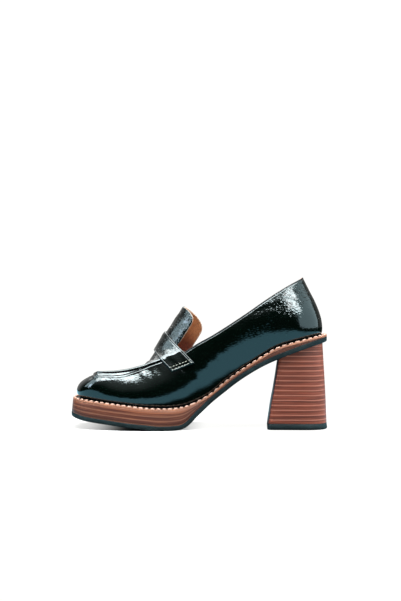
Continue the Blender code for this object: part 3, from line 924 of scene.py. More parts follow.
@dataclass(frozen=True)
class Crease:
    """A soft trough or ridge in the leather, from one place to another.

    Attributes:
        zone: panel that it lies on.
        start: place along and share up or across, where it begins.
        end: where it ends.
        rise: height, less than 0 for a trough, in metres.
        width: half its width, in metres.
        bow: how far its middle bends aside, as a share of the panel.
    """

    zone: Zone
    start: tuple[float, float]
    end: tuple[float, float]
    rise: float
    width: float
    bow: float = 0.0


@dataclass
class Upper:
    """Patent upper with its raised apron seam, rolled collar, creases and tan lining."""

    last: Last
    quarter_steps: int = 110
    vamp_steps: int = 84
    wall_steps: int = 24
    front_steps: int = 42
    leather: float = 0.0010
    lining: float = 0.00075
    ridge_rise: float = 0.0014
    ridge_back: float = 0.0017
    ridge_side: tuple[float, float] = (0.0008, 0.0002)
    bound_edge: float = 0.0010
    corner_ease: float = 0.0050
    ease_columns: int = 40
    ease_step: float = 0.0004
    ridge_sinks: float = 2.2
    edge_close: tuple = (0.0, 0.00012, 0.0003, 0.0005, 0.0007, 0.0009, 0.0011, 0.0013, 0.0015, 0.0017,
                         0.0019, 0.0021, 0.0024, 0.0027, 0.0030, 0.0033, 0.0036, 0.0040, 0.0046)
    foot_close: tuple = (0.0, 0.0004, 0.0009, 0.0015, 0.0023)
    seam_close: tuple = (0.0, 0.00015, 0.0003, 0.0005, 0.0007, 0.0009, 0.0011, 0.0013, 0.0016, 0.0020)
    creases: tuple = (
        Crease(Zone.APRON, (3.5, 0.10), (3.9, 0.52), -0.00050, 0.0015, 0.05),
        Crease(Zone.APRON, (3.9, 0.16), (4.2, 0.62), 0.00035, 0.0014, 0.04),
        Crease(Zone.APRON, (4.3, 0.06), (4.6, 0.40), -0.00040, 0.0014, -0.05),
        Crease(Zone.APRON, (3.7, 0.60), (4.2, 0.93), -0.00045, 0.0016, -0.04),
        Crease(Zone.APRON, (4.7, 0.48), (4.9, 0.88), -0.00030, 0.0016, 0.05),
        Crease(Zone.APRON, (5.3, 0.20), (5.5, 0.66), -0.00022, 0.0020, 0.03),
        Crease(Zone.INNER_WALL, (12.6, 0.93), (12.1, 0.66), -0.00032, 0.0018, 0.02),
        Crease(Zone.INNER_WALL, (13.4, 0.90), (13.0, 0.60), -0.00026, 0.0020, 0.03),
        Crease(Zone.INNER_WALL, (14.3, 0.88), (13.9, 0.64), 0.00020, 0.0018, 0.02),
        Crease(Zone.INNER_WALL, (9.4, 0.70), (8.0, 0.40), -0.00030, 0.0026, 0.03),
        Crease(Zone.INNER_WALL, (7.4, 0.86), (6.2, 0.62), -0.00026, 0.0022, 0.02),
        Crease(Zone.INNER_WALL, (4.9, 0.90), (3.4, 0.66), -0.00040, 0.0018, 0.03),
        Crease(Zone.INNER_WALL, (4.0, 0.93), (2.8, 0.74), 0.00032, 0.0016, -0.02),
        Crease(Zone.INNER_WALL, (3.2, 0.86), (2.2, 0.60), -0.00036, 0.0018, 0.02),
        Crease(Zone.INNER_WALL, (2.4, 0.92), (1.8, 0.70), -0.00028, 0.0016, 0.02),
        Crease(Zone.OUTER_WALL, (12.8, 0.93), (12.2, 0.62), -0.00032, 0.0018, 0.02),
        Crease(Zone.OUTER_WALL, (13.7, 0.90), (13.3, 0.62), -0.00026, 0.0020, 0.02),
        Crease(Zone.OUTER_WALL, (9.6, 0.66), (8.2, 0.42), -0.00030, 0.0026, 0.03),
        Crease(Zone.OUTER_WALL, (4.6, 0.88), (3.2, 0.64), -0.00038, 0.0018, 0.03),
        Crease(Zone.OUTER_WALL, (3.0, 0.90), (2.0, 0.66), 0.00030, 0.0016, 0.02))

    def crease_line(self, crease: Crease) -> np.ndarray:
        """Points of a crease on the last."""
        line = []
        for t in np.linspace(0.0, 1.0, 14):
            place = crease.start[0] * (1 - t) + crease.end[0] * t
            share = crease.start[1] * (1 - t) + crease.end[1] * t + crease.bow * math.sin(math.pi * t)
            if crease.zone is Zone.APRON:
                knee = len(self.last.quarter) - 1
                a = self.last.section(knee + place, Side.INNER)[1]
                b = self.last.section(knee + place, Side.OUTER)[1]
                line.append(self.last.arch(a, b, self.last.crown_point(place), [share])[0])
            else:
                side = Side.INNER if crease.zone is Zone.INNER_WALL else Side.OUTER
                line.append(self.last.column(self.last.section(place, side), [share])[0])
        return np.array(line)

    def lay(self) -> None:
        """Lay out the inner face: its points, faces and distances from the seam and the collar."""
        last = self.last
        knee = len(last.quarter) - 1
        span = len(last.vamp) - 1
        row_length = (last.vamp[-1][8] - last.vamp[-2][8]) * last.sole_length
        seam_close = np.array(self.seam_close)
        close = span - seam_close[::-1] / row_length
        quarter_places = np.linspace(0, knee, self.quarter_steps + 1)[:-1]
        vamp_places = np.concatenate((np.linspace(0, close[0], self.vamp_steps)[:-1], close))
        places = np.concatenate((quarter_places, knee + vamp_places))
        inner = [last.section(p, Side.INNER) for p in places]
        outer = [last.section(p, Side.OUTER) for p in places[1:]]
        corner_in, corner_out = inner[-1][1], outer[-1][1]

        def across(width: float) -> np.ndarray:
            """Shares across the apron."""
            return steps_between(seam_close / width, seam_close / width, self.front_steps)

        shares = across(corner_out[1] - corner_in[1])
        tops = last.arch(corner_in, corner_out, last.crown_point(span), shares)
        front = []
        start = last.vamp[-1][0]
        for w, top in zip(shares[1:-1], tops[1:-1]):
            side = Side.INNER if w < 0.5 else Side.OUTER
            reach_in = min(2 * w, 2 - 2 * w)
            foot, way = last.lasting_point(start + (last.toe_place - start) * reach_in, side)
            belly, brow = inner[-1][2:4]
            brow += (last.toe_brow * last.ball_width - brow) * math.sin(reach_in * math.pi / 2)
            front.append((foot, top, belly, brow, way))
        loop = inner + front + outer[::-1]
        points, columns = [], []
        for section in loop:
            length = np.linalg.norm(section[1] - section[0])
            rows = steps_between(np.array(self.foot_close) / length, np.array(self.edge_close) / length,
                                 self.wall_steps)
            base = sum(len(p) for p in points)
            points.append(last.column(section, rows))
            columns.append(list(range(base, base + len(rows))))
        count, height = len(columns), len(columns[0]) - 1
        for corner in (len(inner) - 1, len(inner) + len(front)):
            self.ease_corner(points, corner)
        faces: Faces = []
        for c in range(count):
            a, b = columns[c], columns[(c + 1) % count]
            faces += [(a[r], b[r], b[r + 1], a[r + 1]) for r in range(height)]
        wall_faces = len(faces)
        flat = np.vstack(points)
        inner_tops = [columns[len(quarter_places) + k][-1] for k in range(len(vamp_places))]
        outer_tops = [columns[count - len(quarter_places) - k][-1] for k in range(len(vamp_places))]
        rows = [[inner_tops[-1]] + [columns[len(inner) + k][-1] for k in range(len(front))] + [outer_tops[-1]]]
        extra, total = [], len(flat)
        for k, place in enumerate(vamp_places[-2::-1]):
            a_id, b_id = inner_tops[-2 - k], outer_tops[-2 - k]
            a, b = flat[a_id], flat[b_id]
            run = last.arch(a, b, last.crown_point(place), across(b[1] - a[1]))[1:-1]
            extra.append(run)
            rows.append([a_id] + list(range(total, total + len(run))) + [b_id])
            total += len(run)
        for a, b in zip(rows[:-1], rows[1:]):
            faces += [(a[i], b[i], b[i + 1], a[i + 1]) for i in range(len(a) - 1)]
        self.points = np.vstack([flat] + extra)
        walls, apron = faces[:wall_faces], faces[wall_faces:]
        walls = facing(self.points, walls, 60 * height + height // 4, np.array((0.0, -1.0, 0.0)))
        apron = facing(self.points, apron, len(apron) // 2, np.array((0.0, 0.0, 1.0)))
        self.faces = walls + apron
        self.normals = point_normals(self.points, self.faces)
        seam = inner_tops + rows[0][1:-1] + outer_tops[::-1]
        seam_raise = np.clip(vamp_places - self.ridge_sinks, 0.0, 1.0)
        raised = np.concatenate((seam_raise, np.ones(len(front)), seam_raise[::-1]))
        drop_places = np.concatenate((vamp_places, np.full(len(front), span), vamp_places[::-1]))
        far, share = reach(self.points, self.points[seam])
        index = share * (len(seam) - 1)
        self.seam_far = np.where(np.arange(len(self.points)) < len(flat), far, -far)
        self.raised = np.interp(index, range(len(seam)), raised)
        self.seam_place = np.interp(index, range(len(seam)), drop_places)
        inner_collar = [columns[k][-1] for k in range(len(quarter_places) + 1)]
        outer_collar = [columns[(count - k) % count][-1] for k in range(1, len(quarter_places) + 1)]
        collar = inner_collar[::-1] + outer_collar
        self.collar_far = reach(self.points, self.points[collar])[0]
        self.throat_far = reach(self.points, self.points[rows[-1]])[0]
        feet = [c[0] for c in columns]
        self.foot_far = reach(self.points, self.points[feet + feet[:1]])[0]

    def ease_corner(self, points: list[np.ndarray], corner: int) -> None:
        """Round the wall under a corner of the apron, and leave its seam as it is.

        Args:
            points: points up the wall, column by column, changed in place.
            corner: the column at the corner.
        """
        mid = self.ease_columns
        near = range(corner - mid, corner + mid + 1)
        block = np.array([points[c % len(points)] for c in near])
        eased = block.copy()
        for r in range(block.shape[1] - 1):
            line = block[:, r]
            run = np.concatenate(([0.0], np.cumsum(np.linalg.norm(np.diff(line, axis=0), axis=1))))
            even = np.arange(0.0, run[-1], self.ease_step)
            dense = np.column_stack([np.interp(even, run, line[:, k]) for k in range(3)])
            below = np.linalg.norm(block[mid, -1] - block[mid, r])
            spread = self.corner_ease * min(max((below - 0.0008) / 0.006, 0.0), 1.0)
            if spread < 0.0005:
                continue
            here = run[:, None] - even[None]
            weight = np.exp(-(here / spread) ** 2 / 2)
            soft = weight @ dense / weight.sum(1, keepdims=True)
            keep = np.clip((np.abs(run - run[mid]) - 0.020) / 0.008, 0.0, 1.0)[:, None]
            eased[:, r] = keep * line + (1 - keep) * soft
        for k, c in enumerate(near):
            points[c % len(points)][:-1] = eased[k, :-1]

    def relief(self) -> np.ndarray:
        """Height of the outer face above the plain wall, from the seam, the collar and the creases."""
        s, up = self.seam_far, self.raised
        shoulder = np.clip((self.seam_place - 4.6) / 2.6, 0.0, 1.0)
        line = 0.0014 + 0.0022 * shoulder
        rim = -0.00038 * swell(s, 0.00034, line) + 0.00022 * swell(s, 0.0005, line + 0.0007)
        stitch = -0.00022 * swell(-s, 0.00035, 0.0022)
        height = up * np.where(s > 0, rim, stitch) * np.clip(shoulder * 2, 0.35, 1.0)
        height -= 0.00020 * swell(self.collar_far, 0.00026, 0.0016)
        for crease in self.creases:
            far, share = reach(self.points, self.crease_line(crease))
            ends = np.sin(np.pi * np.clip(share, 0.0, 1.0)) ** 0.8
            height += crease.rise * ends * swell(far, crease.width)
        x, y, z = self.points.T
        height += 0.00006 * np.sin(x * 310 + z * 170 + 2 * np.sin(z * 90)) * np.sin(z * 260 - x * 120 + y * 90)
        return height

    def standing_seam(self) -> np.ndarray:
        """Lift of the apron seam: steep on the wall's side, rounded over to the apron."""
        s = self.seam_far
        foot, head = self.ridge_side
        side = np.clip((s - foot) / (head - foot), 0.0, 1.0)
        back = np.sqrt(np.clip(1 - (np.minimum(s, 0.0) / self.ridge_back) ** 2, 0.0, 1.0))
        return self.ridge_rise * self.raised * side * side * (3 - 2 * side) * back

    def crinkle(self) -> np.ndarray:
        """How strong the crinkle is at each point of the outer face."""
        x, y, z = self.points.T
        along = self.last.along_at(x)
        stations = np.linspace(x.min(), x.max(), 200)
        above = z - np.interp(x, stations, [self.last.welt_top(v) for v in stations])
        counter = np.clip(1.25 - np.abs(along - 0.16) / 0.20, 0, 1) * np.clip((above - 0.020) / 0.02, 0, 1)
        apron = np.where(self.seam_far < 0, np.clip(1.3 - (along - 0.68) / 0.12, 0.25, 0.85), 0.0)
        shoulder = np.where(self.seam_far >= 0, 0.16 * swell(self.seam_far, 0.012), 0.0)
        return np.clip(0.16 + 0.95 * counter + apron + shoulder, 0.0, 1.2)

    def build(self, patent: bpy.types.Material, tan: bpy.types.Material, edge: bpy.types.Material,
              black: bpy.types.Material) -> list[bpy.types.Object]:
        """Make the leather and its lining.

        Args:
            patent: finish of the outside.
            tan: finish of the lining.
            edge: finish of the cut edges inside.
            black: finish of the inked edge round the collar.

        Returns:
            The two pieces.
        """
        self.lay()
        wall, feather = self.last.wall, np.minimum(self.collar_far, self.throat_far)
        mid, half = wall - self.leather / 2, self.leather / 2 * half_round(feather, self.leather * 0.5)
        tuck = -0.0009 * swell(self.foot_far, 0.0016)
        out = mid + half + self.relief() * (feather > 0.0003) + tuck
        self.outer = self.points + self.normals * out[:, None]
        self.outer[:, 2] += self.standing_seam()
        back = self.points + self.normals * (mid - half)[:, None]
        skin = shell(self.outer, back, self.faces)
        strong = self.crinkle()
        skin.layers["crinkle"] = np.concatenate((strong, strong * 0.3))
        bound = [self.collar_far[list(f)].max() < self.bound_edge for f in self.faces]
        count = len(self.faces)
        skin.slots = [(2 if bound[k] else 0) if k < count else (1 if k < 2 * count else 2)
                      for k in range(len(skin.slots))]
        leather = skin.piece("upper_leather", patent, edge, black, sharp=75)
        cover = wall - self.leather - 0.00004
        top = 0.5 * self.lining * half_round(feather, self.lining)
        centre = cover - self.lining / 2
        inside = shell(self.points + self.normals * (centre + top)[:, None],
                       self.points + self.normals * (centre - top)[:, None], self.faces)
        inside.slots = [1 if k < count else (0 if k < 2 * count and not bound[k - count] else 2)
                        for k in range(len(inside.slots))]
        lining = inside.piece("upper_lining", tan, edge, black, sharp=75)
        return [leather, lining]


@dataclass
class Tongue:
    """Standing tongue: black patent outside, tan lining inside, cream cut edge between."""

    last: Last
    length: float = 0.0336
    slope: float = math.radians(56.8)
    half: float = 0.0262
    depth: float = 0.0275
    near: float = math.radians(65)
    far: float = math.radians(88)
    side: float = 0.45
    square_near: float = 5.0
    square_far: float = 3.0
    gap: float = 0.0020
    thick: float = 0.0020
    leather: float = 0.0009
    skirt_drop: float = 0.0070
    skirt_in: float = 0.0012
    close: tuple = (0.0, 0.008, 0.02, 0.035, 0.055, 0.08)

    def build(self, patent: bpy.types.Material, tan: bpy.types.Material,
              edge: bpy.types.Material) -> list[bpy.types.Object]:
        """Make the tongue's leather and its lining.

        Args:
            patent: finish of the outside.
            tan: finish of the lining.
            edge: finish of the cut edge.

        Returns:
            The two pieces.
        """
        run = np.array((math.cos(self.slope), 0.0, math.sin(self.slope)))
        inward = np.array((math.sin(self.slope), 0.0, -math.cos(self.slope)))
        start = self.last.crown_point(0.0) + run * self.gap
        ends = np.array(self.close)
        across = 2 * steps_between(ends / 2, ends / 2, 70) - 1
        rises = steps_between(np.array((0.0,)), ends, 30)
        points = []
        for r in rises:
            for u in across:
                turn = u * (self.near if u < 0 else self.far)
                square = self.square_near if u < 0 else self.square_far
                reach_up = self.side + (1 - self.side) * (1 - abs(u) ** square) ** (1 / square)
                p = start + run * self.length * reach_up * r + inward * self.depth * (1 - math.cos(turn))
                points.append(p + np.array((0.0, self.half * math.sin(turn), 0.0)))
        flat = np.array(points)
        columns = len(across)
        faces = facing(flat, grid_faces(len(rises), columns), columns // 2, np.array((-1.0, 0.0, 0.0)))
        normals = point_normals(flat, faces)
        numbers = np.arange(len(flat)).reshape(-1, columns)
        ring = np.concatenate((numbers[:, 0], numbers[-1], numbers[::-1, -1]))
        far = reach(flat, flat[ring])[0]
        _, y, z = flat.T
        waves = 0.00025 * np.sin(z * 420 + y * 260 + np.sin(y * 300)) * np.sin(y * 190 - z * 130)
        waves *= np.clip(far / 0.004, 0, 1)
        split = self.thick - self.leather
        rounding = half_round(far, self.leather * 0.7)
        outer = split + self.leather / 2 + self.leather / 2 * rounding + waves
        back = split + self.leather / 2 - self.leather / 2 * rounding
        self.outer, self.faces = flat + normals * outer[:, None], faces
        skin = shell(self.outer, flat + normals * back[:, None], faces)
        skin.layers["crinkle"] = np.full(len(skin.points), 1.15)
        leather = skin.piece("tongue_leather", patent, patent, patent, sharp=75)
        inset = half_round(far, 0.0006)
        middle = split / 2
        height = np.repeat(rises, columns)
        root = swell(height, 0.05)[:, None]
        hung = flat + root * (-run * self.skirt_drop + inward * self.skirt_in)
        lining = shell(hung + normals * (middle + middle * inset - 0.00003)[:, None],
                       hung + normals * (middle - middle * inset)[:, None], faces)
        # Painted shade: the lining darkens towards the tongue's root, where shade falls down inside the throat.
        low = swell(height, 0.42)
        lining.layers["painted_shade"] = np.concatenate((low, low))
        rim_far = np.array([far[[i % len(flat) for i in f]].min() for f in lining.faces])
        lining.slots = np.where((np.array(lining.slots) == 2) | (rim_far < 0.0007), 1, 0).tolist()
        inside = lining.piece("tongue_lining", tan, edge, sharp=75)
        return [leather, inside]


class StitchRun:
    """Rows of stitches along a line, laid by Geometry Nodes."""

    def __init__(self) -> None:
        """Build the node tree once."""
        tree = bpy.data.node_groups.new("stitches along a line", "GeometryNodeTree")
        self.tree = tree
        side = tree.interface
        self.ids: dict[str, str] = {}
        sockets = (("Line", "Geometry"), ("Pitch", "Float"), ("Length", "Float"), ("Width", "Float"),
                   ("Height", "Float"), ("Sway", "Float"), ("Seed", "Int"), ("Thread", "Material"))
        for name, kind in sockets:
            made = side.new_socket(name, in_out="INPUT", socket_type="NodeSocket" + kind)
            self.ids[name] = made.identifier
        side.new_socket("Stitches", in_out="OUTPUT", socket_type="NodeSocketGeometry")
        bench = Bench(tree)
        start = tree.nodes.new("NodeGroupInput")
        given = {name: Wire(tree, start.outputs[name]) for name in self.ids}
        curve = bench.node("GeometryNodeMeshToCurve", {}, {"Mesh": given["Line"]})
        spaced = bench.node("GeometryNodeResampleCurve", {"mode": "LENGTH"},
                            {"Curve": curve, "Length": given["Pitch"]})
        tangent = bench.node("GeometryNodeInputTangent")
        up = bench.node("GeometryNodeInputNamedAttribute", {"data_type": "FLOAT_VECTOR"}, {"Name": "up"})
        facing_way = bench.node("FunctionNodeAxesToRotation", {"primary_axis": "X", "secondary_axis": "Z"},
                                {"Primary Axis": tangent, "Secondary Axis": up})
        bead = bench.node("GeometryNodeMeshUVSphere", {}, {"Segments": 10, "Rings": 7, "Radius": 0.5})
        swing = bench.node("FunctionNodeRandomValue", {"data_type": "FLOAT"},
                           {"Min": 1.0 - given["Sway"], "Max": 1.0 + given["Sway"], "Seed": given["Seed"]}, 1)
        size = bench.node("ShaderNodeCombineXYZ", {}, {0: given["Length"] * swing, 1: given["Width"],
                                                       2: given["Height"] * swing})
        laid = bench.node("GeometryNodeInstanceOnPoints", {}, {
            "Points": spaced, "Instance": bead, "Rotation": facing_way, "Scale": size})
        solid = bench.node("GeometryNodeRealizeInstances", {}, {"Geometry": laid})
        smooth = bench.node("GeometryNodeSetShadeSmooth", {}, {"Geometry": solid})
        done = bench.node("GeometryNodeSetMaterial", {}, {"Geometry": smooth, "Material": given["Thread"]})
        bench.node("NodeGroupOutput", {}, {0: done})

    def sew(self, name: str, lines: list[tuple[np.ndarray, np.ndarray]], thread: bpy.types.Material,
            **sizes: float) -> bpy.types.Object:
        """Sew stitches along lines.

        Args:
            name: name of the piece.
            lines: each line's points and upward directions.
            thread: finish of the stitches.
            sizes: the tree's inputs by name.

        Returns:
            The stitches as one plain mesh.
        """
        points, edges, ups = [], [], []
        for line, up in lines:
            base = len(points)
            points += [tuple(p) for p in line]
            ups += [tuple(u) for u in up]
            edges += [(base + i, base + i + 1) for i in range(len(line) - 1)]
        mesh = bpy.data.meshes.new(name)
        mesh.from_pydata(points, edges, [])
        layer = mesh.attributes.new("up", "FLOAT_VECTOR", "POINT")
        layer.data.foreach_set("vector", np.array(ups, np.float32).ravel())
        item = added(name, mesh)
        rule = item.modifiers.new("stitches", "NODES")
        rule.node_group = self.tree
        for key, value in sizes.items():
            rule[self.ids[key]] = value
        rule[self.ids["Thread"]] = thread
        graph = bpy.context.evaluated_depsgraph_get()
        sewn = bpy.data.meshes.new_from_object(item.evaluated_get(graph))
        item.modifiers.clear()
        item.data = sewn
        sewn.name = name
        return item


@dataclass
class SaddleStrap:
    """Strap across the vamp, draped over the upper and the tongue's root, sewn down at its ends."""

    last: Last
    front_crown: tuple = (0.6900, 0.5300)
    front_end: tuple = (0.6045, 0.3860)
    rear_crown: tuple = (0.6410, 0.6480)
    rear_end: tuple = (0.5190, 0.4430)
    sweep: float = math.radians(92)
    thick: float = 0.0017
    lift: float = 0.00020
    along: int = 26
    across: int = 110
    close: tuple = (0.0, 0.00015, 0.00035, 0.0006, 0.0009, 0.0012, 0.0015, 0.0018, 0.0021, 0.0025)
    seam_inset: float = 0.0016
    thread_pitch: float = 0.0029
    thread_sinks: float = 0.00010

    def side_place(self, share: tuple[float, float]) -> np.ndarray:
        """Point in the side view."""
        return np.array((self.last.x_at(share[0]), 0.0, share[1] * self.last.back_height))

    def frame(self, f: float) -> tuple[np.ndarray, np.ndarray]:
        """Axis point and crown direction of the section at a share of the strap's width."""
        crown = (1 - f) * self.side_place(self.front_crown) + f * self.side_place(self.rear_crown)
        end = (1 - f) * self.side_place(self.front_end) + f * self.side_place(self.rear_end)
        return end, (crown - end) / np.linalg.norm(crown - end)

    def drape(self, tree: BVHTree, rows: int, columns: int) -> np.ndarray:
        """Distances from the strap's axis to what it lies on, at even steps."""
        high = np.full((rows, columns), np.nan)
        for r in range(rows):
            end, up = self.frame(r / (rows - 1))
            for c in range(columns):
                turn = self.sweep * (2 * c / (columns - 1) - 1)
                aim = up * math.cos(turn) + np.array((0.0, math.sin(turn), 0.0))
                hit = tree.ray_cast(Vector(end + aim * 0.09), Vector(-aim), 0.075)[0]
                if hit is not None:
                    high[r, c] = np.linalg.norm(np.array(hit) - end)
            known = ~np.isnan(high[r])
            high[r] = np.interp(range(columns), np.flatnonzero(known), high[r][known])
        return high

    def pulled(self, row: np.ndarray) -> np.ndarray:
        """Pull one section tight, so that it spans the hollows under it.

        Args:
            row: distances from the strap's axis, at even turns.

        Returns:
            The distances of the taut section.
        """
        turns = np.linspace(-self.sweep, self.sweep, len(row))
        points = np.column_stack((row * np.cos(turns), row * np.sin(turns)))
        held = [0]
        for k in range(1, len(row)):
            while len(held) > 1:
                a, b = points[held[-1]] - points[held[-2]], points[k] - points[held[-2]]
                if a[0] * b[1] - a[1] * b[0] > 0:
                    break
                held.pop()
            held.append(k)
        tight = row.copy()
        for low, high in zip(held[:-1], held[1:]):
            t = turns[low:high + 1]
            chord = np.sin(turns[high] - t) / row[low] + np.sin(t - turns[low]) / row[high]
            tight[low:high + 1] = np.sin(turns[high] - turns[low]) / chord
        return tight

    def straighten(self, high: np.ndarray) -> np.ndarray:
        """Taut along the strap and straight from its front edge to its rear edge."""
        high = np.array([self.pulled(row) for row in high])
        share = np.linspace(0.0, 1.0, len(high))[:, None]
        flat = (1 - share) * high[0] + share * high[-1]
        flat = flat + np.maximum(high - flat, 0.0).max(axis=0)
        soft = np.pad(flat, ((0, 0), (3, 3)), mode="edge")
        soft = np.mean([soft[:, k:k + flat.shape[1]] for k in range(7)], axis=0)
        return soft + np.maximum(flat - soft, 0.0).max(axis=0) * 0.6

    def on_top(self, f: float, share: float) -> tuple[np.ndarray, np.ndarray]:
        """Point and normal on the strap's face at shares of its width and length."""
        r = np.interp(f, self.row_shares, range(len(self.row_shares)))
        c = np.interp(share, self.column_shares, range(len(self.column_shares)))
        r0, c0 = min(int(r), len(self.row_shares) - 2), min(int(c), len(self.column_shares) - 2)
        fr, fc = r - r0, c - c0
        got = []
        for grid in (self.face, self.face_normals):
            got.append((1 - fr) * ((1 - fc) * grid[r0, c0] + fc * grid[r0, c0 + 1])
                       + fr * ((1 - fc) * grid[r0 + 1, c0] + fc * grid[r0 + 1, c0 + 1]))
        return got[0], got[1] / np.linalg.norm(got[1])

    def build(self, under: list[tuple[np.ndarray, Faces]], patent: bpy.types.Material,
              thread: bpy.types.Material, sewer: StitchRun) -> list[bpy.types.Object]:
        """Make the strap and its stitches.

        Args:
            under: points and faces of what it lies on.
            patent: finish of the strap.
            thread: finish of the stitches.
            sewer: lays the stitches.

        Returns:
            The two pieces.
        """
        points, faces = [], []
        for more, rings in under:
            base = len(points)
            points += [tuple(p) for p in more]
            faces += [tuple(base + i for i in ring) for ring in rings]
        rows, columns = 25, 121
        high = self.straighten(self.drape(BVHTree.FromPolygons(points, faces), rows, columns))
        wide = np.linalg.norm(self.side_place(self.front_end) - self.side_place(self.rear_end))
        close = np.array(self.close)
        self.row_shares = steps_between(close / wide, close / wide, self.along)
        self.column_shares = steps_between(close / 0.10, close / 0.10, self.across)
        flat = []
        for f in self.row_shares:
            end, up = self.frame(f)
            r = min(int(f * (rows - 1)), rows - 2)
            t = f * (rows - 1) - r
            line = (1 - t) * high[r] + t * high[r + 1]
            reach_out = np.interp(self.column_shares * (columns - 1), range(columns), line)
            for share, far in zip(self.column_shares, reach_out):
                turn = self.sweep * (2 * share - 1)
                aim = up * math.cos(turn) + np.array((0.0, math.sin(turn), 0.0))
                flat.append(end + aim * (far + self.lift))
        flat = np.array(flat)
        n_rows, n_cols = len(self.row_shares), len(self.column_shares)
        faces = facing(flat, grid_faces(n_rows, n_cols), n_cols // 2, np.array((0.0, 0.0, 1.0)))
        normals = point_normals(flat, faces)
        long_far = np.minimum(reach(flat, flat[:n_cols])[0], reach(flat, flat[-n_cols:])[0])
        end_far = np.minimum(reach(flat, flat[::n_cols])[0], reach(flat, flat[n_cols - 1::n_cols])[0])
        far = np.minimum(long_far, end_far)
        rounding = half_round(far, self.thick * 0.45)
        groove = -0.00022 * (swell(long_far, 0.0003, self.seam_inset) + swell(end_far, 0.0003, self.seam_inset))
        x, y, z = flat.T
        waves = 0.00022 * np.sin(x * 300 + z * 420 + y * 60) * np.sin(y * 230 + x * 160)
        waves *= np.clip(far / 0.003, 0, 1)
        middle = self.thick / 2
        face = flat + normals * (middle + middle * rounding + groove + waves)[:, None]
        skin = shell(face, flat + normals * (middle - middle * rounding)[:, None], faces)
        strength = np.where(np.abs(y) < 0.030, 0.95, 0.30)
        skin.layers["crinkle"] = np.concatenate((strength, strength))
        self.face = face.reshape(n_rows, n_cols, 3)
        self.face_normals = normals.reshape(n_rows, n_cols, 3)
        strap = skin.piece("strap_leather", patent, patent, patent, sharp=75)
        share_in = self.seam_inset / 0.075
        lines = [[self.on_top(f, place) for f in np.linspace(0.09, 0.91, 30)]
                 for share in (share_in * 0.75, share_in * 2.0) for place in (share, 1 - share)]
        sewn = [(np.array([p - n * self.thread_sinks for p, n in line]), np.array([n for _, n in line]))
                for line in lines]
        stitches = sewer.sew("strap_stitches", sewn, thread, Pitch=self.thread_pitch, Length=0.0024,
                             Width=0.00075, Height=0.0007, Sway=0.06, Seed=4)
        return [strap, stitches]


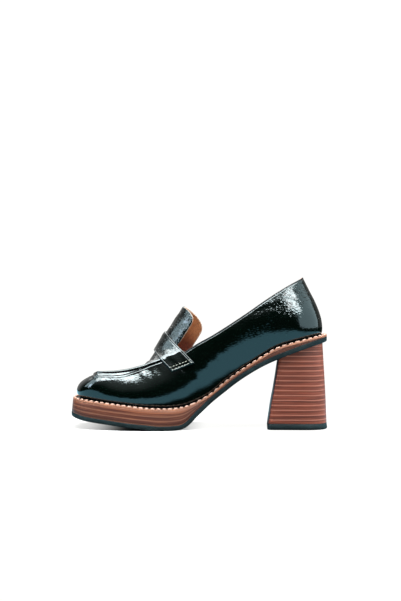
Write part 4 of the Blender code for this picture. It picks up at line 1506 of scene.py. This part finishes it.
@dataclass
class Sole:
    """Outsole, stacked platform, welt with its chunky stitches, and the insole."""

    last: Last
    edge_steps: int = 190
    clear: float = 0.0003
    flare: float = 0.0015
    welt_width: float = 0.010
    insole_thick: float = 0.0025
    stitch_inset: float = 0.0016
    rib_inset: float = 0.0028

    def loop(self, inset: float, spread: float, height: Height, margin: bool = False) -> tuple:
        """Closed loop round the sole.

        Args:
            inset: distance inside the welt edge.
            spread: distance outside it at the forefoot.
            height: function of X that gives Z.
            margin: also inside what the upper leaves of the welt.

        Returns:
            Points from the heel along the inner side to the toe and back, and how far each is
            along its side.
        """
        last = self.last
        places = np.linspace(0, last.toe_place, self.edge_steps + 1)
        sides, runs = [], []
        for side in (Side.INNER, Side.OUTER):
            points = []
            for place in places:
                gap = last.margin_at(place, side) if margin else 0.0
                x, y = last.edge_point(place, side, inset + gap - spread * last.flare_at(place))
                points.append((x, y, height(x)))
            points = np.array(points)
            run = np.concatenate(([0.0], np.cumsum(np.linalg.norm(np.diff(points, axis=0), axis=1))))
            sides.append(points)
            runs.append(run / run[-1] * 0.29)
        return (np.vstack((sides[0], sides[1][-2:0:-1])),
                np.concatenate((runs[0], runs[1][-2:0:-1])))

    def rings(self, profile: list[tuple[float, float, float]], low: Height, high: Height,
              margin: bool = False, start: float = 0.0) -> tuple[np.ndarray, dict[str, np.ndarray]]:
        """Loops of a sheet, one for each row of its profile.

        Args:
            profile: rows of share of height, inset and spread.
            low: height of its bottom at X.
            high: height of its top at X.
            margin: keep inside the upper.
            start: rise that the wood's layers count from.

        Returns:
            The points, and the layers run and rise.
        """
        points, runs, rises = [], [], []
        thick = np.mean([high(x) - low(x) for x in np.linspace(-0.19, -0.12, 9)])
        for share, inset, spread in profile:
            ring, run = self.loop(inset, spread, lambda x, s=share: low(x) + s * (high(x) - low(x)), margin)
            points.append(ring)
            runs.append(run)
            rises.append(np.full(len(run), start + share * thick))
        return np.vstack(points), {"run": np.concatenate(runs), "rise": np.concatenate(rises)}

    def slab(self, profile: list[tuple[float, float, float]], low: Height, high: Height,
             margin: bool = False) -> Skin:
        """Closed sheet between two heights, its profile given from the bottom up."""
        points, layers = self.rings(profile, low, high, margin)
        rings, count = len(profile), 2 * self.edge_steps
        return outward(Skin(points, band_faces(rings, count) + cap_faces(rings, count), [], layers))

    def welt(self) -> Skin:
        """Strip round the edge, open in the middle, its inner part under the upper painted black as the shadow
        there.
        """
        rib, width = self.rib_inset, self.welt_width
        profile = [(share, inset, 0.0) for share, inset in (
            (0.0, 0.0), (0.55, 0.0), (0.82, 0.00015), (0.96, 0.0004), (1.0, 0.0009), (1.0, rib),
            (0.80, rib + 0.0004), (0.80, width), (0.0, width))]
        points, layers = self.rings(profile, self.last.welt_bottom, self.last.welt_top, start=0.02)
        count = 2 * self.edge_steps
        # Painted shadow: the welt's top inside the stitch rib is black, standing in for the shade under the
        # upper.
        slots = [1 if 5 <= r <= 6 else 0 for r in range(len(profile)) for _ in range(count)]
        return outward(Skin(points, band_faces(len(profile), count, closed=True), slots, layers))

    def bed(self, x: float) -> float:
        """Height that the insole lies at."""
        return self.last.welt_top(x) + self.clear

    def stitch_line(self, side: Side, first: float, last_place: float) -> tuple[np.ndarray, np.ndarray]:
        """Line that the welt stitches follow along one side."""
        points = []
        for place in np.linspace(first, last_place, 400):
            x, y = self.last.edge_point(place, side, self.stitch_inset)
            points.append((x, y, self.last.welt_top(x) + 0.00035))
        points = np.array(points)
        ahead = np.gradient(points, axis=0)
        out = np.cross(ahead, (0.0, 0.0, 1.0))
        up = np.cross(out, ahead)
        return points, up / np.linalg.norm(up, axis=1, keepdims=True)

    def build(self, finishes: dict[str, bpy.types.Material], sewer: StitchRun) -> dict[str, bpy.types.Object]:
        """Make the sole's pieces.

        Args:
            finishes: materials by name.
            sewer: lays the stitches.

        Returns:
            The pieces by name.
        """
        last, gap, flare = self.last, self.clear, self.flare
        outsole = self.slab([(share, inset, spread * flare) for share, inset, spread in (
            (0.0, 0.0012, 0.5), (0.02, 0.0006, 0.6), (0.10, 0.0002, 0.8), (0.24, 0.0, 1.0), (0.55, 0.0, 1.0),
            (0.88, 0.0, 1.0), (0.97, 0.0001, 1.0), (1.0, 0.0004, 1.0))], last.outsole_bottom, last.outsole_top)
        under = np.zeros(len(outsole.points))
        under[:len(under) // 8] = 1.0
        outsole.layers["under"] = under
        platform = self.slab([(share, inset, spread * flare) for share, inset, spread in (
            (0.0, 0.0003, 0.85), (0.03, 0.0, 0.85), (0.25, 0.0, 0.68), (0.5, 0.0, 0.5), (0.75, 0.0, 0.25),
            (0.97, 0.0, 0.03), (1.0, 0.0002, 0.0))],
            lambda x: last.outsole_top(x) + gap / 3, lambda x: last.welt_bottom(x) - gap / 3)
        inside = last.wall + 2 * gap
        insole = self.slab([(share, inside + inset, 0.0) for share, inset in
                            ((0.0, 0.0003), (0.2, 0.0), (0.75, 0.0), (0.94, 0.0004), (1.0, 0.0011))],
                           self.bed, lambda x: self.bed(x) + self.insole_thick, margin=True)
        pieces = {
            "outsole_sheet": outsole.piece("outsole_sheet", finishes["rubber"], sharp=60),
            "platform_stack": platform.piece("platform_stack", finishes["platform wood"], sharp=60),
            "welt_strip": self.welt().piece("welt_strip", finishes["welt"], finishes["edge ink and painted welt shadow"], sharp=60),
            "insole_sock": insole.piece("insole_sock", finishes["tan lining"], sharp=60),
        }
        for name, first, end, pitch, length, height, seed in (
                ("welt_stitches_fore", 10.6, last.toe_place, 0.0054, 0.0042, 0.0019, 7),
                ("welt_stitches_rear", 0.0, 10.5, 0.0065, 0.0050, 0.0018, 9)):
            lines = [self.stitch_line(side, first, end) for side in Side]
            pieces[name] = sewer.sew(name, lines, finishes["welt thread"], Pitch=pitch, Length=length,
                                     Width=0.0024, Height=height, Sway=0.06, Seed=seed)
        return pieces


@dataclass
class Heel:
    """Stacked block heel with its slanted breast, round back and top piece."""

    last: Last
    top_piece: float = 0.0058
    clear: float = 0.0003
    depth: float = 0.058
    width: float = 0.061
    corner: float = 0.0040
    spread: float = 0.0006
    levels: int = 34
    rows: tuple = (
        (0.00, -0.470, 0.508, 0.490, 3.2), (0.12, -0.452, 0.502, 0.482, 3.1),
        (0.30, -0.425, 0.493, 0.472, 2.9), (0.50, -0.385, 0.480, 0.464, 2.7),
        (0.72, -0.345, 0.464, 0.460, 2.4), (1.00, -0.300, 0.444, 0.458, 2.1))

    def outline(self, breast: float, rear: float, half: float, square: float) -> tuple[np.ndarray, np.ndarray]:
        """D shaped loop, with 1 on the breast and 0 elsewhere."""
        edge = [(breast, -y * (half - self.corner)) for y in np.linspace(0.0, 1.0, 12)]
        front = [1.0] * 12
        for d in (15, 30, 45, 60, 75, 90):
            turn = math.radians(d)
            edge.append((breast + self.corner * (1 - math.cos(turn)),
                         -half + self.corner * (1 - math.sin(turn))))
            front.append(1.0 if d < 40 else 0.0)
        start = breast + self.corner
        edge += [(start + (rear - half - start) * k / 8, -half) for k in range(1, 8)]
        front += [0.0] * 7
        for d in np.linspace(0, 90, 31):
            turn, power = math.radians(d), 2 / square
            edge.append((rear - half + half * math.sin(turn) ** power,
                         -half * max(math.cos(turn), 0.0) ** power if d < 90 else 0.0))
            front.append(0.0)
        near = np.array(edge)
        far = near[1:-1][::-1] * (1, -1)
        return np.vstack((near, far)), np.array(front + front[1:-1][::-1])

    def loft(self, sections: list[tuple]) -> Skin:
        """Solid through D shaped loops.

        Args:
            sections: breast, rear, half width, squareness and the height as a function of X.

        Returns:
            The solid, with its layers run, rise, breast and under.
        """
        rings, runs, fronts = [], [], []
        for breast, rear, half, square, height in sections:
            plan, front = self.outline(breast, rear, half, square)
            rings.append(np.array([(x, y, height(x)) for x, y in plan]))
            steps = np.linalg.norm(np.diff(plan[:len(plan) // 2 + 1], axis=0), axis=1)
            run = np.concatenate(([0.0], np.cumsum(steps)))
            runs.append(np.concatenate((run, run[1:-1][::-1])))
            fronts.append(front)
        count, points = len(rings[0]), np.vstack(rings)
        faces = band_faces(len(rings), count) + cap_faces(len(rings), count)
        under = (np.arange(len(points)) < count).astype(float)
        return outward(Skin(points, faces, [], {"run": np.concatenate(runs), "rise": points[:, 2].copy(),
                                                "breast": np.concatenate(fronts), "under": under}))

    def build(self, wood: bpy.types.Material, rubber: bpy.types.Material) -> list[bpy.types.Object]:
        """Make the heel block and its top piece."""
        table = np.array(self.rows)
        gap = self.clear / 3
        base = self.top_piece + gap
        sections = []
        for share in np.linspace(0.0, 1.0, self.levels):
            place = np.interp(share, table[:, 0], range(len(table)))
            _, breast, rear, half, square = smooth_row(table, place)
            sections.append((breast * self.depth, rear * self.depth, half * self.width, square,
                             lambda x, s=share: base + s * (self.last.outsole_bottom(x) - gap - base)))
        block = self.loft(sections).piece("heel_stack", wood, sharp=50)
        _, breast, rear, half, square = self.rows[0]
        breast, rear, half = breast * self.depth, rear * self.depth, half * self.width
        thick, s = self.top_piece, self.spread
        grows = ((0.0, s - 0.0007), (0.04, s - 0.0003), (0.12, s), (0.5, s * 0.5), (0.93, 0.0), (1.0, -0.0003))
        levels = [(breast - grow, rear + grow, half + grow, square, lambda x, v=share: v * thick)
                  for share, grow in grows]
        piece = self.loft(levels).piece("heel_top_piece", rubber, sharp=50)
        return [block, piece]


@dataclass(frozen=True)
class Softbox:
    """A rectangular light.

    Attributes:
        name: its name.
        place: where it hangs.
        aim: what it is turned to.
        size: its sides.
        power: its power, in watts.
        color: colour of its light.
        seen: what it falls on.
    """

    name: str
    place: tuple[float, float, float]
    aim: tuple[float, float, float]
    size: tuple[float, float]
    power: float
    color: Color = (1.0, 1.0, 1.0)
    seen: Seen = Seen.BOTH

    def hang(self) -> None:
        """Put it in the scene."""
        light = bpy.data.lights.new(self.name, "AREA")
        light.shape, light.size, light.size_y = "RECTANGLE", *self.size
        light.energy, light.color = self.power, self.color
        item = added(self.name, light)
        item.location = self.place
        item.rotation_euler = (Vector(self.aim) - Vector(self.place)).to_track_quat("-Z", "Y").to_euler()
        item.visible_diffuse = self.seen is not Seen.MIRRORED
        item.visible_glossy = self.seen is not Seen.MATT


@dataclass
class Studio:
    """Pale floor, soft light from above and the camera."""

    camera_place: tuple = (-0.0350, -1.0985, 0.1225)
    camera_turn: float = math.radians(3.0)
    lens: float = 67.58
    paper: Color = (1.0, 1.0, 0.985)
    paper_power: float = 1.05
    floor_reach: float = 7.0
    boxes: tuple = (
        Softbox("softbox", (-0.10, -0.20, 1.05), (-0.09, 0.0, 0.05), (1.5, 0.85), 42.0),
        Softbox("heel side box", (1.25, -0.28, 0.56), (0.0, 0.0, 0.10), (2.3, 1.0), 12.5, (0.74, 0.94, 1.0)),
        Softbox("toe side box", (-1.2, -0.5, 0.45), (-0.2, 0.0, 0.04), (0.3, 0.4), 2.6, (0.74, 0.84, 1.0)),
        Softbox("tongue side box", (-1.35, -0.25, 0.90), (-0.1, 0.0, 0.10), (1.1, 0.9), 9.0, (0.76, 0.93, 1.0),
                Seen.MIRRORED),
        Softbox("toe front box", (-0.46, -0.76, 1.22), (-0.15, 0.0, 0.05), (0.56, 0.30), 7.6,
                seen=Seen.MIRRORED),
        Softbox("counter front box", (0.62, -0.92, 0.83), (0.0, 0.0, 0.10), (0.66, 0.38), 13.5,
                seen=Seen.MIRRORED),
        Softbox("back rim box", (0.90, 0.45, 0.50), (0.02, 0.0, 0.06), (0.5, 0.6), 14.0, seen=Seen.MATT))

    def floor(self) -> None:
        """Floor, which glossy things see darker and cooler than it looks, as a glowing painted reflection with
        painted shadow round the shoe. Seen straight it is lit, with glowing white painted over its shadow away
        from the forefoot.
        """
        size = self.floor_reach
        mesh = bpy.data.meshes.new("floor")
        mesh.from_pydata([(-size, -size, 0), (size, -size, 0), (size, size, 0), (-size, size, 0)], [],
                         [(0, 1, 2, 3)])
        material, bench = bench_for("pale floor")
        glossy = bench.node("ShaderNodeLightPath", output="Is Glossy Ray")
        x, y, _ = bench.axes(bench.coords())
        out = ((x + 0.09) * (x + 0.09) * 0.6 + y * y) ** 0.5
        lit = bench.node("ShaderNodeBsdfDiffuse", {}, {"Color": (0.72, 0.73, 0.72)})
        # Painted light: glowing white mixed over the lit floor, which wipes its shadow out.
        painted_light = bench.node("ShaderNodeEmission", {}, {"Color": self.paper, "Strength": self.paper_power})
        # Share of painted light: full away from the shoe, most under the arch and heel, much towards the toe,
        # none under the forefoot.
        far = out.between(0.16, 0.30)
        clear = far + (1.0 - far) * (x.between(-0.125, -0.085) * 0.93 + x.between(-0.160, -0.215) * 0.75)
        seen = bench.node("ShaderNodeMixShader", {}, {0: clear, 1: lit, 2: painted_light})
        # Painted reflection: glossy rays see the floor glowing, black near the shoe as painted shadow,
        # blue-grey in a band further out and black beyond.
        band = out.between(0.085, 0.115) * out.between(0.66, 0.54)
        painted_reflection_tone = bench.mix(band, (0.002, 0.005, 0.004), (0.26, 0.56, 0.68))
        painted_reflection = bench.node("ShaderNodeEmission", {}, {"Color": painted_reflection_tone, "Strength": 1.82})
        bench.surface("ShaderNodeMixShader", {0: glossy, 1: seen, 2: painted_reflection})
        mesh.materials.append(material)
        added("floor", mesh)

    def world(self) -> None:
        """White to the camera, dim in front and bright behind to glossy things, soft fill to the rest."""
        world = bpy.data.worlds.new("studio")
        bpy.context.scene.world = world
        world.use_nodes = True
        bench = Bench(world.node_tree)
        side, across, up = bench.axes(bench.node("ShaderNodeTexCoord", output="Generated"))
        level = 0.13 + 0.87 * (up - (side * side) ** 0.5 * 0.80).between(-0.02, 0.09)
        backdrop = (across.between(0.25, 0.85) * (1.1 + 1.3 * side.between(0.15, -0.10)) * level
                    + up.between(0.30, 0.80) * 0.35 + 0.002)
        camera = bench.node("ShaderNodeLightPath", output="Is Camera Ray")
        glossy = bench.node("ShaderNodeLightPath", output="Is Glossy Ray")
        power = camera * self.paper_power + glossy * backdrop + (1.0 - camera) * (1.0 - glossy) * 0.16
        back = bench.node("ShaderNodeBackground", {}, {"Color": self.paper, "Strength": power})
        bench.node("ShaderNodeOutputWorld", {}, {"Surface": back})

    def build(self) -> None:
        """Set the studio up."""
        self.floor()
        self.world()
        for box in self.boxes:
            box.hang()
        sun = bpy.data.lights.new("ceiling", "SUN")
        sun.energy, sun.angle = 1.5, math.radians(70)
        added("ceiling", sun)
        camera = bpy.data.cameras.new("camera")
        camera.lens, camera.sensor_width, camera.sensor_fit = self.lens, 36.0, "AUTO"
        eye = added("camera", camera)
        eye.location = self.camera_place
        eye.rotation_euler = (math.radians(90), 0.0, self.camera_turn)
        bpy.context.scene.camera = eye
        bpy.context.scene.view_settings.view_transform = "Standard"


def settle(piece: bpy.types.Object, slot: str, *nodes: str) -> None:
    """Ride a piece on the shoe and hide the solids that it replaces.

    Args:
        piece: the finished piece.
        slot: material slot of the record; not used.
        nodes: solids that it replaces.
    """
    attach(piece, "root")
    if nodes:
        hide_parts(*nodes)
    LOG.info("%s: %d faces", piece.name, len(piece.data.polygons))


def main() -> None:
    """Build and dress the shoe, piece by piece."""
    logging.basicConfig(level=logging.INFO)
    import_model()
    patent = PatentLeather().make()
    tan = GrainLeather("tan lining", (0.42, 0.185, 0.074), (0.25, 0.090, 0.030)).make()
    cream = GrainLeather("cut edge", (0.50, 0.37, 0.28), (0.36, 0.25, 0.18), 0.6).make()
    finishes = {
        "rubber": BlackRubber().make(),
        "platform wood": StackedWood("stacked platform", 0.0042, (0.27, 0.088, 0.037), (0.062, 0.017, 0.010),
                                     (0.36, 0.165, 0.10), 0.34, 0.40, sink=0.60, waist=0.35, top=0.018).make(),
        "heel wood": StackedWood("stacked heel", 0.00463, (0.215, 0.052, 0.028), (0.062, 0.015, 0.009),
                                 (0.44, 0.165, 0.11), 0.26, 0.85).make(),
        "welt": GrainLeather("welt leather", (0.30, 0.125, 0.065), (0.16, 0.058, 0.032)).make(),
        # Black edge ink round the collar, and painted shadow on the welt's top under the upper.
        "edge ink and painted welt shadow": GrainLeather("edge ink and painted welt shadow", (0.006, 0.006, 0.006), (0.003, 0.003, 0.003)).make(),
        "tan lining": tan,
        "welt thread": Thread("welt thread", (0.56, 0.37, 0.29), (0.28, 0.15, 0.105)).make(),
        "strap thread": Thread("strap thread", (0.45, 0.47, 0.40), (0.16, 0.18, 0.15)).make(),
    }
    last = Last()
    sewer = StitchRun()
    upper = Upper(last)
    leather, lining = upper.build(patent, tan, tan, finishes["edge ink and painted welt shadow"])
    settle(leather, "patent_leather", "upper")
    settle(lining, "lining_leather")
    tongue = Tongue(last)
    flap, inside = tongue.build(patent, tan, cream)
    settle(flap, "patent_leather", "tongue")
    settle(inside, "lining_leather")
    under = [(upper.outer, upper.faces), (tongue.outer, tongue.faces)]
    strap, stitches = SaddleStrap(last).build(under, patent, finishes["strap thread"], sewer)
    settle(strap, "patent_leather", "saddle_strap")
    settle(stitches, "patent_leather")
    sole = Sole(last).build(finishes, sewer)
    for name, slot, *nodes in (("outsole_sheet", "outsole_rubber", "outsole"),
                               ("platform_stack", "stacked_wood", "platform"),
                               ("welt_strip", "welt_leather", "welt"),
                               ("insole_sock", "lining_leather", "insole"),
                               ("welt_stitches_fore", "welt_leather"),
                               ("welt_stitches_rear", "welt_leather")):
        settle(sole[name], slot, *nodes)
    block, top_piece = Heel(last).build(finishes["heel wood"], finishes["rubber"])
    settle(block, "stacked_wood", "heel_block")
    settle(top_piece, "outsole_rubber", "top_piece")
    Studio().build()


if __name__ == "__main__":
    main()
